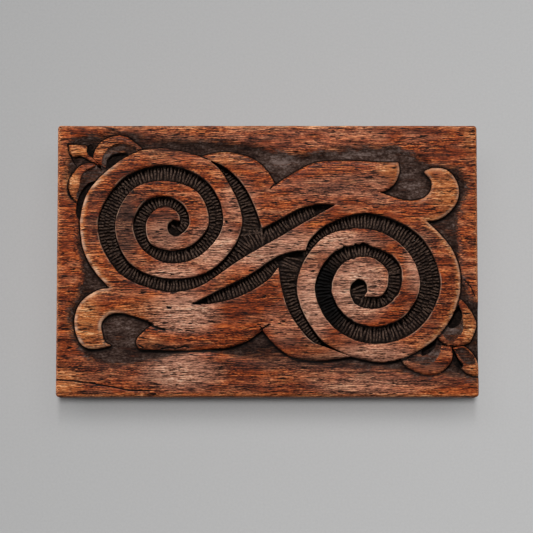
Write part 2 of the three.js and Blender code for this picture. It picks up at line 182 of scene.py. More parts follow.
# Corner petals: each is a raised rim round a scooped middle, with a deep pocket beside the spiral. The
# outlines close under the figure, which is left standing over them.
PETALS = [
    # upper left: beside the spiral's crown, beside its left flank, and the stem in the corner
    [[(-87.4, 50), (-87, 53.2), (-85.4, 57.2), (-82.5, 60.4), (-78, 62.4), (-74, 63), (-69.8, 61.8),
     (-66, 59), (-62.8, 55.6)], [(-74, 44)]],
    [[(-87.2, 49), (-90.5, 48.9), (-93.6, 47.7), (-96.3, 45.2), (-98.5, 41.5), (-99.4, 37.6), (-99.1, 33.6),
     (-97.7, 31.4)], [(-95.6, 29.8), (-90, 26)], [(-80, 42), (-84, 46)]],
    [[(-99.7, 58.3), (-94.5, 58.2), (-90.8, 57.8), (-90.2, 55.5), (-88.6, 52.6), (-86.3, 50.6)],
     [(-84.8, 48.2), (-89, 50.8), (-93.5, 52.9), (-97.7, 52.4)]],
    # lower right: beside the spiral's right flank, beside its foot, and the leaf in the corner
    [[(95.5, -18.8), (98.5, -21.5), (102, -26.5), (104, -31.7), (102.5, -37.2), (100, -41), (95.5, -42.3),
     (91.3, -42.9)], [(84, -38), (88, -28)]],
    [[(91.5, -43), (92, -47.5), (90.5, -51.5), (86.5, -55.3), (81.5, -57), (75, -55.7), (69.5, -52.8)],
     [(66.5, -49.5), (76, -42)]],
    [[(92.3, -43.5), (98, -43), (102, -46.5), (104.8, -52), (105.5, -57.2), (101.8, -57.2), (98.2, -55.3)],
     [(96.5, -53.5), (95.2, -49)]],
]
HOLLOWS = [
    [[(-83.4, 48), (-82.9, 51.4), (-81.3, 54.8), (-79, 57.4), (-76, 58.8), (-72.3, 59), (-68, 57.9),
     (-65, 56)], [(-74, 44)]],
    [[(-83.6, 48.9), (-86.4, 47.9), (-89.9, 46.2), (-92.4, 44.2), (-93.9, 41.5), (-94.4, 37), (-95.6, 31.5)],
     [(-88, 30), (-82, 41)]],
    [[(95.5, -21.8), (97.2, -25.2), (97.6, -29.8), (97.8, -34.8), (95, -38.5), (90.5, -40.3)],
     [(86, -36), (91, -27)]],
    [[(87, -41.3), (86, -46.2), (83.5, -50.3), (79.5, -52.4), (73.5, -51.2), (69, -49.7)], [(76, -42)]],
    [[(92.6, -44.2), (98, -43.5), (101.5, -46.5), (103.7, -51.2)], [(100.3, -52.4)],
     [(97.8, -51.2), (95, -47.8)]],
]
POCKETS = [
    [[(-81, 46.5), (-80.5, 50.7), (-78, 53.6), (-74.5, 54.4), (-69.5, 53.9)], [(-72, 46)]],
    [[(-86, 40.4), (-89.6, 39.2), (-92.5, 36), (-94.6, 32), (-95.6, 27.5), (-95.4, 22.5)], [(-93, 19)],
     [(-90, 27), (-84, 36)]],
    [[(95.5, -22.8), (97.1, -26), (96.6, -30.5), (94.5, -33.2), (90.6, -33.6)], [(90, -28)]],
    [[(84.5, -40), (83.5, -43.5), (80.5, -46.3), (76.8, -47.4)], [(77, -42)]],
    [[(-90.3, 57.8), (-90.4, 54.2), (-88.9, 52.4), (-87.2, 53), (-87, 56), (-88.2, 59)]],
    [[(92.7, -45.6), (95, -48.8), (97.6, -52), (96.4, -54), (93.9, -53), (92, -49.5)]],
]

# Where the blackened ground ends and the reddish rim of the board begins
GROUND_EDGE = [
    [(-100, 60), (-95.5, 63), (-87, 64.5), (-78.5, 65.2), (-67.5, 64.8), (-60.5, 63.4), (-53.5, 62.3),
     (-44.5, 61.5), (-36, 61), (-19.5, 60.5), (-9.5, 59.5), (1.5, 57), (11.5, 55), (20.5, 55.2), (30.5, 57.2),
     (44.5, 58.5), (58.5, 58.7), (66.5, 58.5), (72.5, 55.5), (78, 52.5), (82.5, 50), (89, 48.7), (96.5, 47.7),
     (98.5, 43.5), (101, 41), (101.8, 36), (100.3, 30.5), (98, 24.5), (97.5, 16), (98.2, 6), (98.5, -3),
     (100, -10), (102, -14.5), (104, -19)],
    [(108, -24), (108, -58.5)],
    [(99, -61), (94, -59), (86.5, -58.6), (76.5, -58.8), (69, -57.5), (61.5, -56), (51.5, -54.7),
     (41.5, -53.5), (28, -53.5), (15, -50.7), (7.5, -51.5), (-2.5, -52), (-11, -51), (-18, -49.5),
     (-28.5, -47.7), (-38.5, -47.7), (-48.5, -49.5), (-56.5, -50), (-61.5, -52), (-68.5, -52.7), (-77, -53.7),
     (-85, -51.7), (-91.5, -48.5), (-94.5, -44.5), (-97, -39.5), (-98.8, -35), (-98.8, -22.5), (-95.8, -18),
     (-95.3, -13.5), (-94, -8), (-95, -1.5), (-97, 6), (-97.8, 13.5), (-97, 20), (-96, 24), (-96.8, 27.5),
     (-97.8, 31.5), (-99.8, 37.5), (-101.8, 44.5), (-101.8, 50), (-99.5, 53), (-100.3, 56.5)],
]

# Where fibres broke out of a groove's bank, with sharp corners
CHIP = [[corner] for corner in ((37, 5.8), (38, 7.7), (39.3, 7.3), (42.5, 7.5), (43.8, 8.8), (45.8, 8.4),
                                (47.4, 9.5), (49.2, 8.8), (50.3, 8.9), (52.4, 7.4), (50, 5.5))]

# Knife cuts, cracks and dents: points along each, its width and its depth
NICKS = [
    ([(-33.6, 52.6), (-30, 51.1)], 0.5, 0.5),
    ([(-58.5, -32), (-54, -33.8), (-51, -34.6)], 0.9, 1.0),
    ([(-51, -34.2), (-46.3, -34.3)], 0.4, 0.4),
    ([(-3.6, -34.6), (1.2, -31.9)], 0.6, 0.8),
    ([(-2.4, -34.4), (-3.6, -32.8)], 0.5, 0.6),
    ([(3.4, 38.4), (1.6, 36.3)], 0.5, 0.7),
    ([(-52.5, -44), (-48.5, -43.3), (-45.5, -43.8), (-41, -42.8), (-38.8, -43.4)], 0.6, 0.6),
    ([(-64, -42), (-61.5, -43.6)], 0.5, 0.5),
    ([(-44.5, -34.3), (-42.5, -34.6)], 0.4, 0.4),
    ([(-40, -35), (-36.2, -35.4)], 0.4, 0.4),
    ([(-37.2, -21.6), (-33, -21.9)], 0.4, 0.4),
    ([(-99, 53.5), (-97.3, 50), (-95.3, 47.2)], 0.45, 0.3),
    ([(-99.5, 36), (-98.8, 33), (-97.6, 31.2)], 0.35, 0.3),
    ([(-105, -59.4), (-96, -60), (-86, -61.4), (-76, -63.2), (-68.5, -64.7), (-58.5, -65)], 0.5, 0.4),
    ([(98.6, -10), (101.6, -13.4), (103.4, -18)], 0.4, 0.35),
    ([(-49.6, -23.5), (-48.2, -23.6)], 0.8, 0.6),
    ([(-38.8, -31.5), (-37.4, -31.4)], 0.5, 0.4),
    ([(-20.6, 19.6), (-20.1, 19.4)], 0.9, 0.7),
    ([(-18.6, 15.2), (-18.2, 15)], 0.6, 0.5),
]


def smooth_run(points):
    """Points on a centripetal Catmull-Rom curve through the given ones, close together."""
    points = np.asarray(points, float)
    if len(points) < 2:
        return points
    held = np.vstack([2 * points[0] - points[1], points, 2 * points[-1] - points[-2]])
    share = np.linspace(0, 1, SPAN_POINTS, endpoint=False)[:, None]
    close = []
    for before, start, end, after in zip(held, held[1:], held[2:], held[3:]):
        first = np.linalg.norm(start - before) ** 0.5
        middle = np.linalg.norm(end - start) ** 0.5
        last = np.linalg.norm(after - end) ** 0.5
        leave = (start - before) / first - (end - before) / (first + middle) + (end - start) / middle
        arrive = (end - start) / middle - (after - start) / (middle + last) + (after - end) / last
        leave *= middle
        arrive *= middle
        square = -3 * start + 3 * end - 2 * leave - arrive
        cube = 2 * start - 2 * end + leave + arrive
        close.append(start + leave * share + square * share ** 2 + cube * share ** 3)
    return np.vstack([*close, points[-1:]])


def spaced(points, spacing):
    """The same line with even spacing, without its last point."""
    steps = np.linalg.norm(np.diff(points, axis=0), axis=1)
    along = np.concatenate([[0], np.cumsum(steps)])
    count = max(1, round(along[-1] / spacing))
    at = np.linspace(0, along[-1], count, endpoint=False)
    return np.column_stack([np.interp(at, along, points[:, 0]), np.interp(at, along, points[:, 1])])


def between(values, i, j, east, north):
    """Values of a grid read between its cells: row i and column j, and how far north and east of them."""
    lower = values[i, j] * (1 - east) + values[i, j + 1] * east
    upper = values[i + 1, j] * (1 - east) + values[i + 1, j + 1] * east
    return lower * (1 - north) + upper * north


def wander(points, size, seed):
    """Smooth random swells between about -1 and 1, size mm across. Size may differ along X and Y."""
    # The random lattice starts 400 mm off the lid's middle and repeats after 256 cells
    place = (points[:, :2] + 400) / np.broadcast_to(np.asarray(size, float), 2)
    cell = np.floor(place).astype(int)
    part = place - cell
    part = part * part * (3 - 2 * part)
    lattice = np.random.default_rng(seed).uniform(-1, 1, (257, 257))
    return between(lattice, cell[:, 1] % 256, cell[:, 0] % 256, part[:, 0], part[:, 1])


def ease(value, low, high):
    """0 below low, 1 above high and smooth between."""
    share = np.clip((value - low) / (high - low), 0, 1)
    return share * share * (3 - 2 * share)


def hand_wobble(points):
    """Moves points the little that a hand strays from its line, and more where the fibres tore."""
    torn = 1 - ease(np.hypot(points[:, 0] - RIGHT_EYE[0], points[:, 1] - RIGHT_EYE[1]), 21, 30)
    fine = np.column_stack([wander(points, 1.3, 41), wander(points, 1.3, 42)])
    slow = np.column_stack([wander(points, 4, 43), wander(points, 4, 44)])
    return points + 0.1 * slow + (0.05 + 0.16 * torn)[:, None] * fine


def outline(runs, spacing=EDGE_SPACING):
    """A closed outline of evenly spaced points. Each run is carried on to the next run's first point."""
    corners = [run[0] for run in runs[1:] + runs[:1]]
    pieces = [spaced(smooth_run([*run, corner]), spacing) for run, corner in zip(runs, corners)]
    return hand_wobble(np.vstack(pieces))


# Distance fields: how far each place on the lid lies from an outline, in mm, and negative inside it

grid_x = np.arange(-LID_LENGTH / 2 - 4, LID_LENGTH / 2 + 4, CELL)
grid_y = np.arange(-LID_WIDTH / 2 - 4, LID_WIDTH / 2 + 4, CELL)


def distances(shape, reach):
    """The distance field of a closed outline, cut off at reach."""
    field = np.full((len(grid_y), len(grid_x)), float(reach))
    crossings = np.zeros((len(grid_y), len(grid_x) + 1), int)
    for start, end in zip(shape, np.roll(shape, -1, axis=0)):
        low = np.minimum(start, end) - reach
        high = np.maximum(start, end) + reach
        columns = slice(*np.searchsorted(grid_x, (low[0], high[0])))
        rows = slice(*np.searchsorted(grid_y, (low[1], high[1])))
        way = end - start
        east = grid_x[columns] - start[0]
        north = (grid_y[rows] - start[1])[:, None]
        share = np.clip((east * way[0] + north * way[1]) / max(way @ way, 1e-9), 0, 1)
        near = np.hypot(east - share * way[0], north - share * way[1])
        np.minimum(field[rows, columns], near, out=field[rows, columns])
        crossed = np.arange(*np.searchsorted(grid_y, sorted((start[1], end[1]))))
        if len(crossed):
            at = start[0] + (grid_y[crossed] - start[1]) / way[1] * way[0]
            np.add.at(crossings, (crossed, np.searchsorted(grid_x, at)), 1)
    inside = np.cumsum(crossings, axis=1)[:, :-1] % 2 == 1
    field[inside] *= -1
    return field


def look_up(field, points):
    """A field's value at points, read between its cells."""
    column = np.clip((points[:, 0] - grid_x[0]) / CELL, 0, len(grid_x) - 1.001)
    row = np.clip((points[:, 1] - grid_y[0]) / CELL, 0, len(grid_y) - 1.001)
    i = row.astype(int)
    j = column.astype(int)
    return between(field, i, j, column - j, row - i)


def outward(field, points):
    """Unit directions in which the distance grows."""
    step = 0.3
    east = look_up(field, points + (step, 0)) - look_up(field, points - (step, 0))
    north = look_up(field, points + (0, step)) - look_up(field, points - (0, step))
    length = np.maximum(np.hypot(east, north), 1e-6)
    return np.column_stack([east / length, north / length])


def board_outline(spacing, inset):
    """The lid's plan: a rectangle with small round corners."""
    half = np.array([LID_LENGTH / 2, LID_WIDTH / 2]) - inset
    centres = (half - CORNER_RADIUS) * np.array([(1, 1), (-1, 1), (-1, -1), (1, -1)])
    rounded = []
    for i, centre in enumerate(centres):
        angles = np.radians(90 * i + np.linspace(0, 90, 7))
        rounded.append(centre + CORNER_RADIUS * np.column_stack([np.cos(angles), np.sin(angles)]))
    return spaced(np.vstack([*rounded, rounded[0][:1]]), spacing)


def inside_board(points):
    """How far points lie inside the edge of the lid, in mm."""
    half = np.array([LID_LENGTH / 2, LID_WIDTH / 2]) - CORNER_RADIUS
    beyond = np.abs(points[:, :2]) - half
    outside = np.hypot(*np.maximum(beyond, 0).T)
    return CORNER_RADIUS - outside - np.minimum(beyond.max(axis=1), 0)


figure_line = outline(FIGURE)
groove_lines = [outline(runs) for runs in (LEFT_GROOVE, RIGHT_GROOVE, CHIP)]
petal_lines = [outline(runs) for runs in PETALS]
hollow_lines = [outline(runs) for runs in HOLLOWS]
pocket_lines = [outline(runs) for runs in POCKETS]
nick_lines = [spaced(np.array(points, float), 0.25) for points, *_ in NICKS]

figure_field = distances(figure_line, 9)
groove_field = np.min([distances(line, 5) for line in groove_lines], axis=0)
petal_fields = [distances(line, 4) for line in petal_lines]
hollow_fields = [distances(line, 3) for line in hollow_lines]
pocket_fields = [distances(line, 3) for line in pocket_lines]
ground_field = distances(outline(GROUND_EDGE, 1.0), 9)


# The carved face

def quarter_round(distance, reach):
    """The drop of a rounded edge, as a share: 1 at the edge itself and 0 from the reach on."""
    share = np.clip(distance / reach, 0, 1)
    return 1 - np.sqrt(np.clip(1 - (1 - share) ** 2, 0, 1))


def raised(under, distance, top, rounding, drop):
    """A raised form over what is under it, with a rounded edge and a steep wall."""
    crown = top - drop * quarter_round(-distance, rounding)
    down = np.clip(distance / WALL_RUN, 0, 1)
    return np.where(distance < WALL_RUN, crown + (np.minimum(under, crown) - crown) * down, under)


def cut_down(over, distance, floor, rounding):
    """A steep cut down to a floor, with its upper edge a little rounded."""
    lip = over - rounding * quarter_round(distance, rounding)
    down = np.clip(-distance / WALL_RUN, 0, 1)
    return np.where(distance < 0, lip + (np.minimum(floor, lip) - lip) * down, lip)


def near_line(points, line, reach):
    """How far points lie from a short line, in mm, and no more than reach."""
    near = np.full(len(points), float(reach))
    low = line.min(axis=0) - reach
    high = line.max(axis=0) + reach
    close = np.nonzero(((points[:, :2] > low) & (points[:, :2] < high)).all(axis=1))[0]
    away = points[close, None, :2] - line[None]
    near[close] = np.minimum(np.hypot(away[..., 0], away[..., 1]).min(axis=1), reach)
    return near


def carved_height(points):
    """Height of the carved face in mm, where 0 is the top of the lid."""
    figure = look_up(figure_field, points)
    groove = look_up(groove_field, points)
    ground = look_up(ground_field, points)

    # The board's own top is planed by hand, and its edges are worn round
    surface = -0.1 - 0.07 * wander(points, (40, 14), 3)
    edge_wear = BOARD_ROUNDING * (1 + 0.25 * wander(points, 9, 4) + 0.12 * wander(points, 2.5, 5))
    worn_edge = edge_wear * quarter_round(inside_board(points), edge_wear)

    # The ground is scooped out with a gouge, and runs up to the rim in a soft slope
    gouge = 0.16 * wander(points, (5, 3.4), 6) + 0.1 * wander(points, 1.9, 7)
    depth = GROUND_DEPTH + gouge + 0.25 * wander(points, 17, 8)
    height = surface - depth * ease(-ground + 0.5 * wander(points, 6, 9), -0.2, GROUND_SLOPE)

    petal_top = -0.45 - 0.1 * wander(points, 4, 10)
    for petal, drop in zip(petal_fields, PETAL_DROPS):
        height = raised(height, look_up(petal, points), petal_top, PETAL_ROUNDING, drop)
    for hollow in hollow_fields:
        scooped = height - HOLLOW_DEPTH * ease(-look_up(hollow, points), -0.1, 0.9)
        height = np.where(figure > -0.5, scooped, height)
    cavity_floor = -CAVITY_DEPTH + 0.15 * wander(points, 2, 11)
    for pocket in pocket_fields:
        cut = cut_down(height, look_up(pocket, points), cavity_floor, 0.3)
        height = np.where(figure > -0.5, cut, height)

    # The figure's edges are rounded, most of all on its flanks at either end, where hands hold the lid
    crown = surface - 0.03 - 0.04 * wander(points, (12, 5), 12) - 0.35 * (1 - ease(-figure, 0, 5.5))
    flank = ease(np.abs(points[:, 0]), 70, 84)
    rounding = FIGURE_ROUNDING + (FLANK_ROUNDING - FIGURE_ROUNDING) * flank + 0.3 * wander(points, 7, 15)
    height = raised(height, figure, crown, rounding, 1.0)
    floor = -GROOVE_DEPTH + 0.12 * wander(points, 3, 13)
    height = cut_down(height, groove, floor, GROOVE_ROUNDING * (1 + 0.3 * wander(points, 4, 14)))
    for line, (_, width, depth) in zip(nick_lines, NICKS):
        height = height - depth * np.clip(1 - near_line(points, line, width) / width, 0, 1)
    return height - worn_edge


def lines_beside(line, field, levels, off_figure=True):
    """Lines at given distances beside one, with which of their points are good: none comes too near to
    another part, to the board's edge or, where asked, to the figure and its walls."""
    away = outward(field, line)
    for level in levels:
        moved = line + away * level
        good = (np.abs(look_up(field, moved) - level) < 0.07) & (inside_board(moved) > 0.4)
        if off_figure:
            good &= look_up(figure_field, moved) > WALL_RUN + 0.25
        yield moved, good


def lid_plan():
    """Points and edges from which the lid's face is triangulated."""
    figure_levels = (-2.9, -2.2, -1.6, -1.1, -0.65, -0.3, -0.1, 0, WALL_RUN, 1.1)
    lines = [*lines_beside(figure_line, figure_field, figure_levels, False)]
    for line in groove_lines:
        lines += lines_beside(line, groove_field, (0.5, 0.25, 0.08, 0, -WALL_RUN, -1.1), False)
    small_forms = [(petal_lines, petal_fields, (-1.8, -1.2, -0.7, -0.3, 0, WALL_RUN, 1.0)),
                   (hollow_lines, hollow_fields, (0, -0.45, -0.9)),
                   (pocket_lines, pocket_fields, (0.3, 0.1, 0, -WALL_RUN, -0.9))]
    for form_lines, fields, levels in small_forms:
        for line, field in zip(form_lines, fields):
            lines += lines_beside(line, field, levels)
    for line, (_, width, _) in zip(nick_lines, NICKS):
        way = np.gradient(line, axis=0)
        side = np.column_stack([-way[:, 1], way[:, 0]]) / np.hypot(*way.T)[:, None]
        for level in (-width, -width / 2, 0, width / 2, width):
            moved = line + side * level
            lines.append((moved, inside_board(moved) > 0.4))

    # Rings follow the board's worn edge, and then come the lines of the carving
    points = []
    edges = []
    count = 0
    for inset in (0, 0.12, 0.4, 0.8, 1.3, 2.0):
        ring = board_outline(RIM_SPACING, inset)
        numbers = count + np.arange(len(ring))
        edges += zip(numbers.tolist(), np.roll(numbers, -1).tolist())
        points.append(ring)
        count += len(ring)
    for moved, good in lines:
        steps = np.hypot(*(np.roll(moved, -1, axis=0) - moved).T)
        joined = good & np.roll(good, -1) & (steps < 1.6 * EDGE_SPACING)
        numbers = np.where(good, count + np.cumsum(good) - 1, -1)
        edges += zip(numbers[joined].tolist(), np.roll(numbers, -1)[joined].tolist())
        points.append(moved[good])
        count += int(good.sum())

    # Everything between the lines is filled with evenly strewn points
    strewn = []
    for i, y in enumerate(np.arange(-LID_WIDTH / 2, LID_WIDTH / 2, FILL_SPACING * TRIANGLE_ROW)):
        x = np.arange(-LID_LENGTH / 2 + (i % 2) * FILL_SPACING / 2, LID_LENGTH / 2, FILL_SPACING)
        strewn.append(np.column_stack([x, np.full(len(x), y)]))
    strewn = np.vstack(strewn)
    strewn += np.random.default_rng(21).uniform(-0.12, 0.12, strewn.shape)
    free = inside_board(strewn) > 2.4
    for fields, low, high in (([figure_field], -3.3, 1.5), ([groove_field], -1.5, 0.9),
                              (petal_fields, -2.2, 1.4), (hollow_fields + pocket_fields, -1.3, 0.6)):
        for field in fields:
            distance = look_up(field, strewn)
            free &= (distance < low) | (distance > high)
    return np.vstack([*points, strewn[free]]), edges


def linked(name, mesh):
    """A new object of a mesh in the scene."""
    piece = bpy.data.objects.new(name, mesh)
    bpy.context.scene.collection.objects.link(piece)
    return piece


def mesh_piece(name, vertices, faces, edges=()):
    """A mesh object from points in millimetres."""
    mesh = bpy.data.meshes.new(name)
    mesh.from_pydata([tuple(v) for v in np.asarray(vertices) * MM], list(edges), faces)
    mesh.validate()
    return linked(name, mesh)


def carved_board():
    """The lid as one closed mesh: the carved face, four sides and the underside."""
    plan, edges = lid_plan()
    found = delaunay_2d_cdt([Vector(p) for p in plan], edges, [], 0, 1e-4, False)
    flat = np.array([tuple(p) for p in found[0]])
    piece = mesh_piece("carved_lid_board", np.column_stack([flat, carved_height(flat) + LID_TOP]), found[2])

    shell = bmesh.new()
    shell.from_mesh(piece.data)
    rim = [edge for edge in shell.edges if edge.is_boundary]
    # The sides go down in rings, each with its height and its inset
    for height, inset in ((LID_TOP - 5.2, 0), (LID_TOP - 7.5, 0), (LID_TOP - 10, 0), (BOX_HEIGHT + 0.9, 0),
                          (BOX_HEIGHT + 0.25, 0.25), (BOX_HEIGHT, 0.9)):
        grown = bmesh.ops.extrude_edge_only(shell, edges=rim)["geom"]
        rim = [item for item in grown if isinstance(item, bmesh.types.BMEdge)]
        for corner in {vertex for edge in rim for vertex in edge.verts}:
            x, y = corner.co.x / MM, corner.co.y / MM
            x = max(-LID_LENGTH / 2 + inset, min(LID_LENGTH / 2 - inset, x))
            y = max(-LID_WIDTH / 2 + inset, min(LID_WIDTH / 2 - inset, y))
            corner.co = (x * MM, y * MM, height * MM)
    bmesh.ops.holes_fill(shell, edges=rim, sides=0)
    bmesh.ops.recalc_face_normals(shell, faces=shell.faces)
    shell.to_mesh(piece.data)
    shell.free()
    return piece


# Materials

def linear(colour):
    """An sRGB hex colour as the linear colour that Blender works in."""
    channels = [int(colour[i:i + 2], 16) / 255 for i in (1, 3, 5)]
    return [c / 12.92 if c <= 0.04045 else ((c + 0.055) / 1.055) ** 2.4 for c in channels] + [1]


def add(tree, kind, inputs=None, **settings):
    """Adds a node with its settings. Each input gets a value, or a link from an output or a whole node, which
    stands for its first output."""
    made = tree.nodes.new(kind)
    for name, value in settings.items():
        setattr(made, name, value)
    for name, value in (inputs or {}).items():
        if isinstance(value, bpy.types.Node):
            value = value.outputs[0]
        if isinstance(value, bpy.types.NodeSocket):
            tree.links.new(value, made.inputs[name])
        else:
            made.inputs[name].default_value = value
    return made


def maths(tree, operation, *values):
    """A node that works out one sum."""
    return add(tree, "ShaderNodeMath", dict(enumerate(values)), operation=operation)


def remapped(tree, value, low, high, start=0.0, end=1.0):
    """What lies from low to high, mapped to another range and cut off at its ends."""
    return add(tree, "ShaderNodeMapRange", {0: value, 1: low, 2: high, 3: start, 4: end})


def new_material(name):
    """A material with an empty node tree, and the tree."""
    material = bpy.data.materials.new(name)
    material.use_nodes = True
    material.node_tree.nodes.clear()
    return material, material.node_tree


def object_place(tree):
    """Where a point lies in its object's own coordinates."""
    return add(tree, "ShaderNodeTexCoord").outputs["Object"]


def read(tree, name, output="Fac"):
    """What an attribute of the mesh says."""
    return add(tree, "ShaderNodeAttribute", attribute_name=name).outputs[output]


def colour_ramp(tree, share, places, colours):
    """A ramp through hex colours at the given places."""
    ramp = add(tree, "ShaderNodeValToRGB", {0: share})
    points = ramp.color_ramp.elements
    while len(points) < len(places):
        points.new(1)
    for point, place, colour in zip(points, places, colours.split()):
        point.position = place
        point.color = linear(colour)
    return ramp


def mixed(tree, share, first, second):
    """One colour running over into another."""
    return add(tree, "ShaderNodeMix", {0: share, 6: first, 7: second}, data_type="RGBA").outputs[2]


def stretched_noise(tree, place, grain_axis, along, across, detail=0.0, roughness=0.5):
    """Noise drawn out along the grain: along and across are its size in millimetres."""
    scale = [1 / (across * MM)] * 3
    scale[grain_axis] = 1 / (along * MM)
    mapped = add(tree, "ShaderNodeMapping", {"Vector": place, "Scale": scale})
    return add(tree, "ShaderNodeTexNoise",
               {"Vector": mapped, "Scale": 1.0, "Detail": detail, "Roughness": roughness})


def centred(tree, noise, gain, base):
    """Base plus gain times how far the noise is from its middle."""
    return maths(tree, "MULTIPLY_ADD", maths(tree, "SUBTRACT", noise, 0.5), gain, base)


def wood_grain(tree, grain_axis, place=None):
    """Tone, pores and relief of open-pored tropical hardwood."""
    noise = partial(stretched_noise, tree, place or object_place(tree), grain_axis)
    # Slow bands of colour, fibre streaks, the short bright fleck between them and long dark veins
    streaks = noise(5, 0.27)
    veins = remapped(tree, noise(60, 0.8, 1.0), 0.58, 0.72)
    fine = centred(tree, noise(16, 0.29), 1.2, 0.0)
    fine = centred(tree, streaks, 1.35, fine)
    fine = centred(tree, noise(1.1, 0.3), 1.0, fine)
    # Some stretches of the wood are calm and others lively
    lively = centred(tree, noise(16, 7, 1.0, 0.55), 1.8, 0.85)
    tone = centred(tree, noise(50, 3.4, 1.5), 0.8, 0.53)
    tone = maths(tree, "MULTIPLY_ADD", fine, lively, tone)
    tone = maths(tree, "MULTIPLY_ADD", veins, -0.3, tone)
    # Open pores, 1.5 to 5 mm long. They are 0.2 mm wide in the wood and drawn about 0.3 mm wide, to show.
    pores = remapped(tree, noise(3.6, 0.3), 0.61, 0.66)
    return tone, pores, maths(tree, "MULTIPLY_ADD", pores, -0.9, streaks)


def finish(tree, relief, bump, depth, shader):
    """The surface shader over a relief. Bump is how strong the relief is and depth its millimetres."""
    normal = add(tree, "ShaderNodeBump", {"Height": relief, "Strength": bump, "Distance": depth * MM})
    surface = add(tree, "ShaderNodeBsdfPrincipled", {**shader, "Normal": normal})
    add(tree, "ShaderNodeOutputMaterial", {0: surface})


def finish_wood(tree, colour, roughness, relief, bump, sheen):
    """Wood's surface, with a relief of about a tenth of a millimetre."""
    finish(tree, relief, bump, 0.12,
           {"Base Color": colour, "Roughness": roughness, "IOR": 1.48, "Specular IOR Level": sheen})


# The carved wood from its pores to its brightest fleck, fresh, handled, rubbed bare with painted highlights,
# and grimed with painted shade. The black serves soot and painted shade alike.
TONE_PLACES = (0.0, 0.22, 0.42, 0.58, 0.78, 1.0)
REDDISH = "#170805 #3b180e #672b17 #883a1b #b05226 #de8044"
HANDLED = "#2f1c16 #7a5140 #ad7962 #c99076 #dfa88b #f4ccb0"
RUBBED_AND_HIGHLIT = "#35180d #773d20 #a55b2f #c1723d #d78c54 #f3c28f"
GRIME_AND_SHADE = "#18100d #2f211c #422d26 #54362c #6b4434 #96684f"
SOOT_AND_SHADE = "#0a0706"


def carved_hardwood():
    # Reddish-brown tropical hardwood such as merbau, carved by hand, blackened in the recesses and oiled:
    # a satin sheen on what hands have rubbed, and a dull black-brown in the cuts
    material, tree = new_material("carved_hardwood_oiled")
    tone, pores, relief = wood_grain(tree, 0, read(tree, "grain_place", "Vector"))
    # The fresh wood is reddish. Handling turns it a pale pinkish brown, rubbing the edges bares lighter wood
    # and paints highlights on the flanks, grime darkens what lies a little lower, and painted shade darkens
    # some bands and the board's sides.
    wood = colour_ramp(tree, tone, TONE_PLACES, REDDISH)
    for name, colours in (("handled", HANDLED), ("rubbed", RUBBED_AND_HIGHLIT), ("grimed", GRIME_AND_SHADE)):
        wood = mixed(tree, read(tree, name), wood, colour_ramp(tree, tone, TONE_PLACES, colours))
    wood = mixed(tree, pores, wood, linear("#160a06"))
    # Painted highlight: a thin pale line where sideways-facing knife edges and the flanks' edges catch the
    # side lamps
    wood = mixed(tree, read(tree, "lip"), wood, linear("#d6ae92"))
    # The black stain breaks up at its edge along the fibres, and dust greys it
    noise = partial(stretched_noise, tree, object_place(tree), 0)
    dust = noise(1.6, 0.9, 4.0, 0.7)
    blotch = noise(7, 3, 3.0, 0.6)
    greyed = centred(tree, dust, 1.1, 0.5)
    greyed = centred(tree, blotch, 0.9, greyed)
    greyed = maths(tree, "MULTIPLY_ADD", read(tree, "dusty"), 0.25, greyed)
    ground = colour_ramp(tree, greyed, (0.25, 0.45, 0.62, 0.85), "#120b09 #2a1c17 #45342d #71605a")
    groove = colour_ramp(tree, dust, (0.3, 0.5, 0.7), "#080504 #17100e #33261f")
    # Deep places take the darker ramp, which also paints shade at the figure's foot, and the black paints
    # soot and shade on the groove walls, at the foot and in the right groove's inner turn
    stain = mixed(tree, read(tree, "deep"), ground, groove)
    stain = mixed(tree, read(tree, "sooted"), stain, linear(SOOT_AND_SHADE))
    ragged = centred(tree, noise(12, 0.7, 3.0, 0.6), 1.5, 0.0)
    ragged = centred(tree, blotch, 0.9, ragged)
    # The stain's cover also brings the painted shade at the figure's foot
    blackened = read(tree, "blackened")
    ragged = maths(tree, "MULTIPLY_ADD", ragged, remapped(tree, blackened, 0.0, 0.35), blackened)
    cover = remapped(tree, ragged, 0.12, 0.8)
    colour = mixed(tree, cover, wood, stain)
    # Old grime, and the painted shade that shares its mask, is dull too
    rough = remapped(tree, cover, 0.0, 1.0, 0.42, 0.85)
    rough = maths(tree, "MULTIPLY_ADD", read(tree, "grimed"), 0.4, rough)
    finish_wood(tree, colour, rough, relief, 0.45, 0.12)
    return material


def cut_hardwood():
    # The same wood at the floor of the grooves, cut by a small chisel and blackened: dull, with greyer crests
    material, tree = new_material("chiselled_hardwood_blackened")
    _, _, relief = wood_grain(tree, 0)
    # Wear has bared the crests in spots only, and the gaps between them are painted darker as shade
    dust = stretched_noise(tree, object_place(tree), 0, 1.1, 0.9, 2.0, 0.7)
    share = maths(tree, "MULTIPLY", read(tree, "crest"), remapped(tree, dust, 0.34, 0.66, 0.15, 1.15))
    share = centred(tree, dust, 0.7, share)
    colour = colour_ramp(tree, share, (0.0, 0.35, 0.75, 1.0), "#1a120f #31241d #4d3a30 #5e4a3e")
    # Soot and painted shade blacken the right groove's inner turn
    colour = mixed(tree, read(tree, "soot"), colour, linear(SOOT_AND_SHADE))
    finish_wood(tree, colour, 0.7, relief, 0.4, 0.16)
    return material


def planed_hardwood(name, grain_axis):
    # The lid's wood, sawn into boards, planed and oiled: even, a little darker, with a low satin sheen
    material, tree = new_material(name)
    tone, pores, relief = wood_grain(tree, grain_axis)
    wood = colour_ramp(tree, tone, (0.0, 0.3, 0.52, 0.75, 1.0), "#2a160e #4c2819 #6a3823 #834729 #9d5e38")
    finish_wood(tree, mixed(tree, pores, wood, linear("#1a0e0a")), 0.6, relief, 0.15, 0.12)
    return material


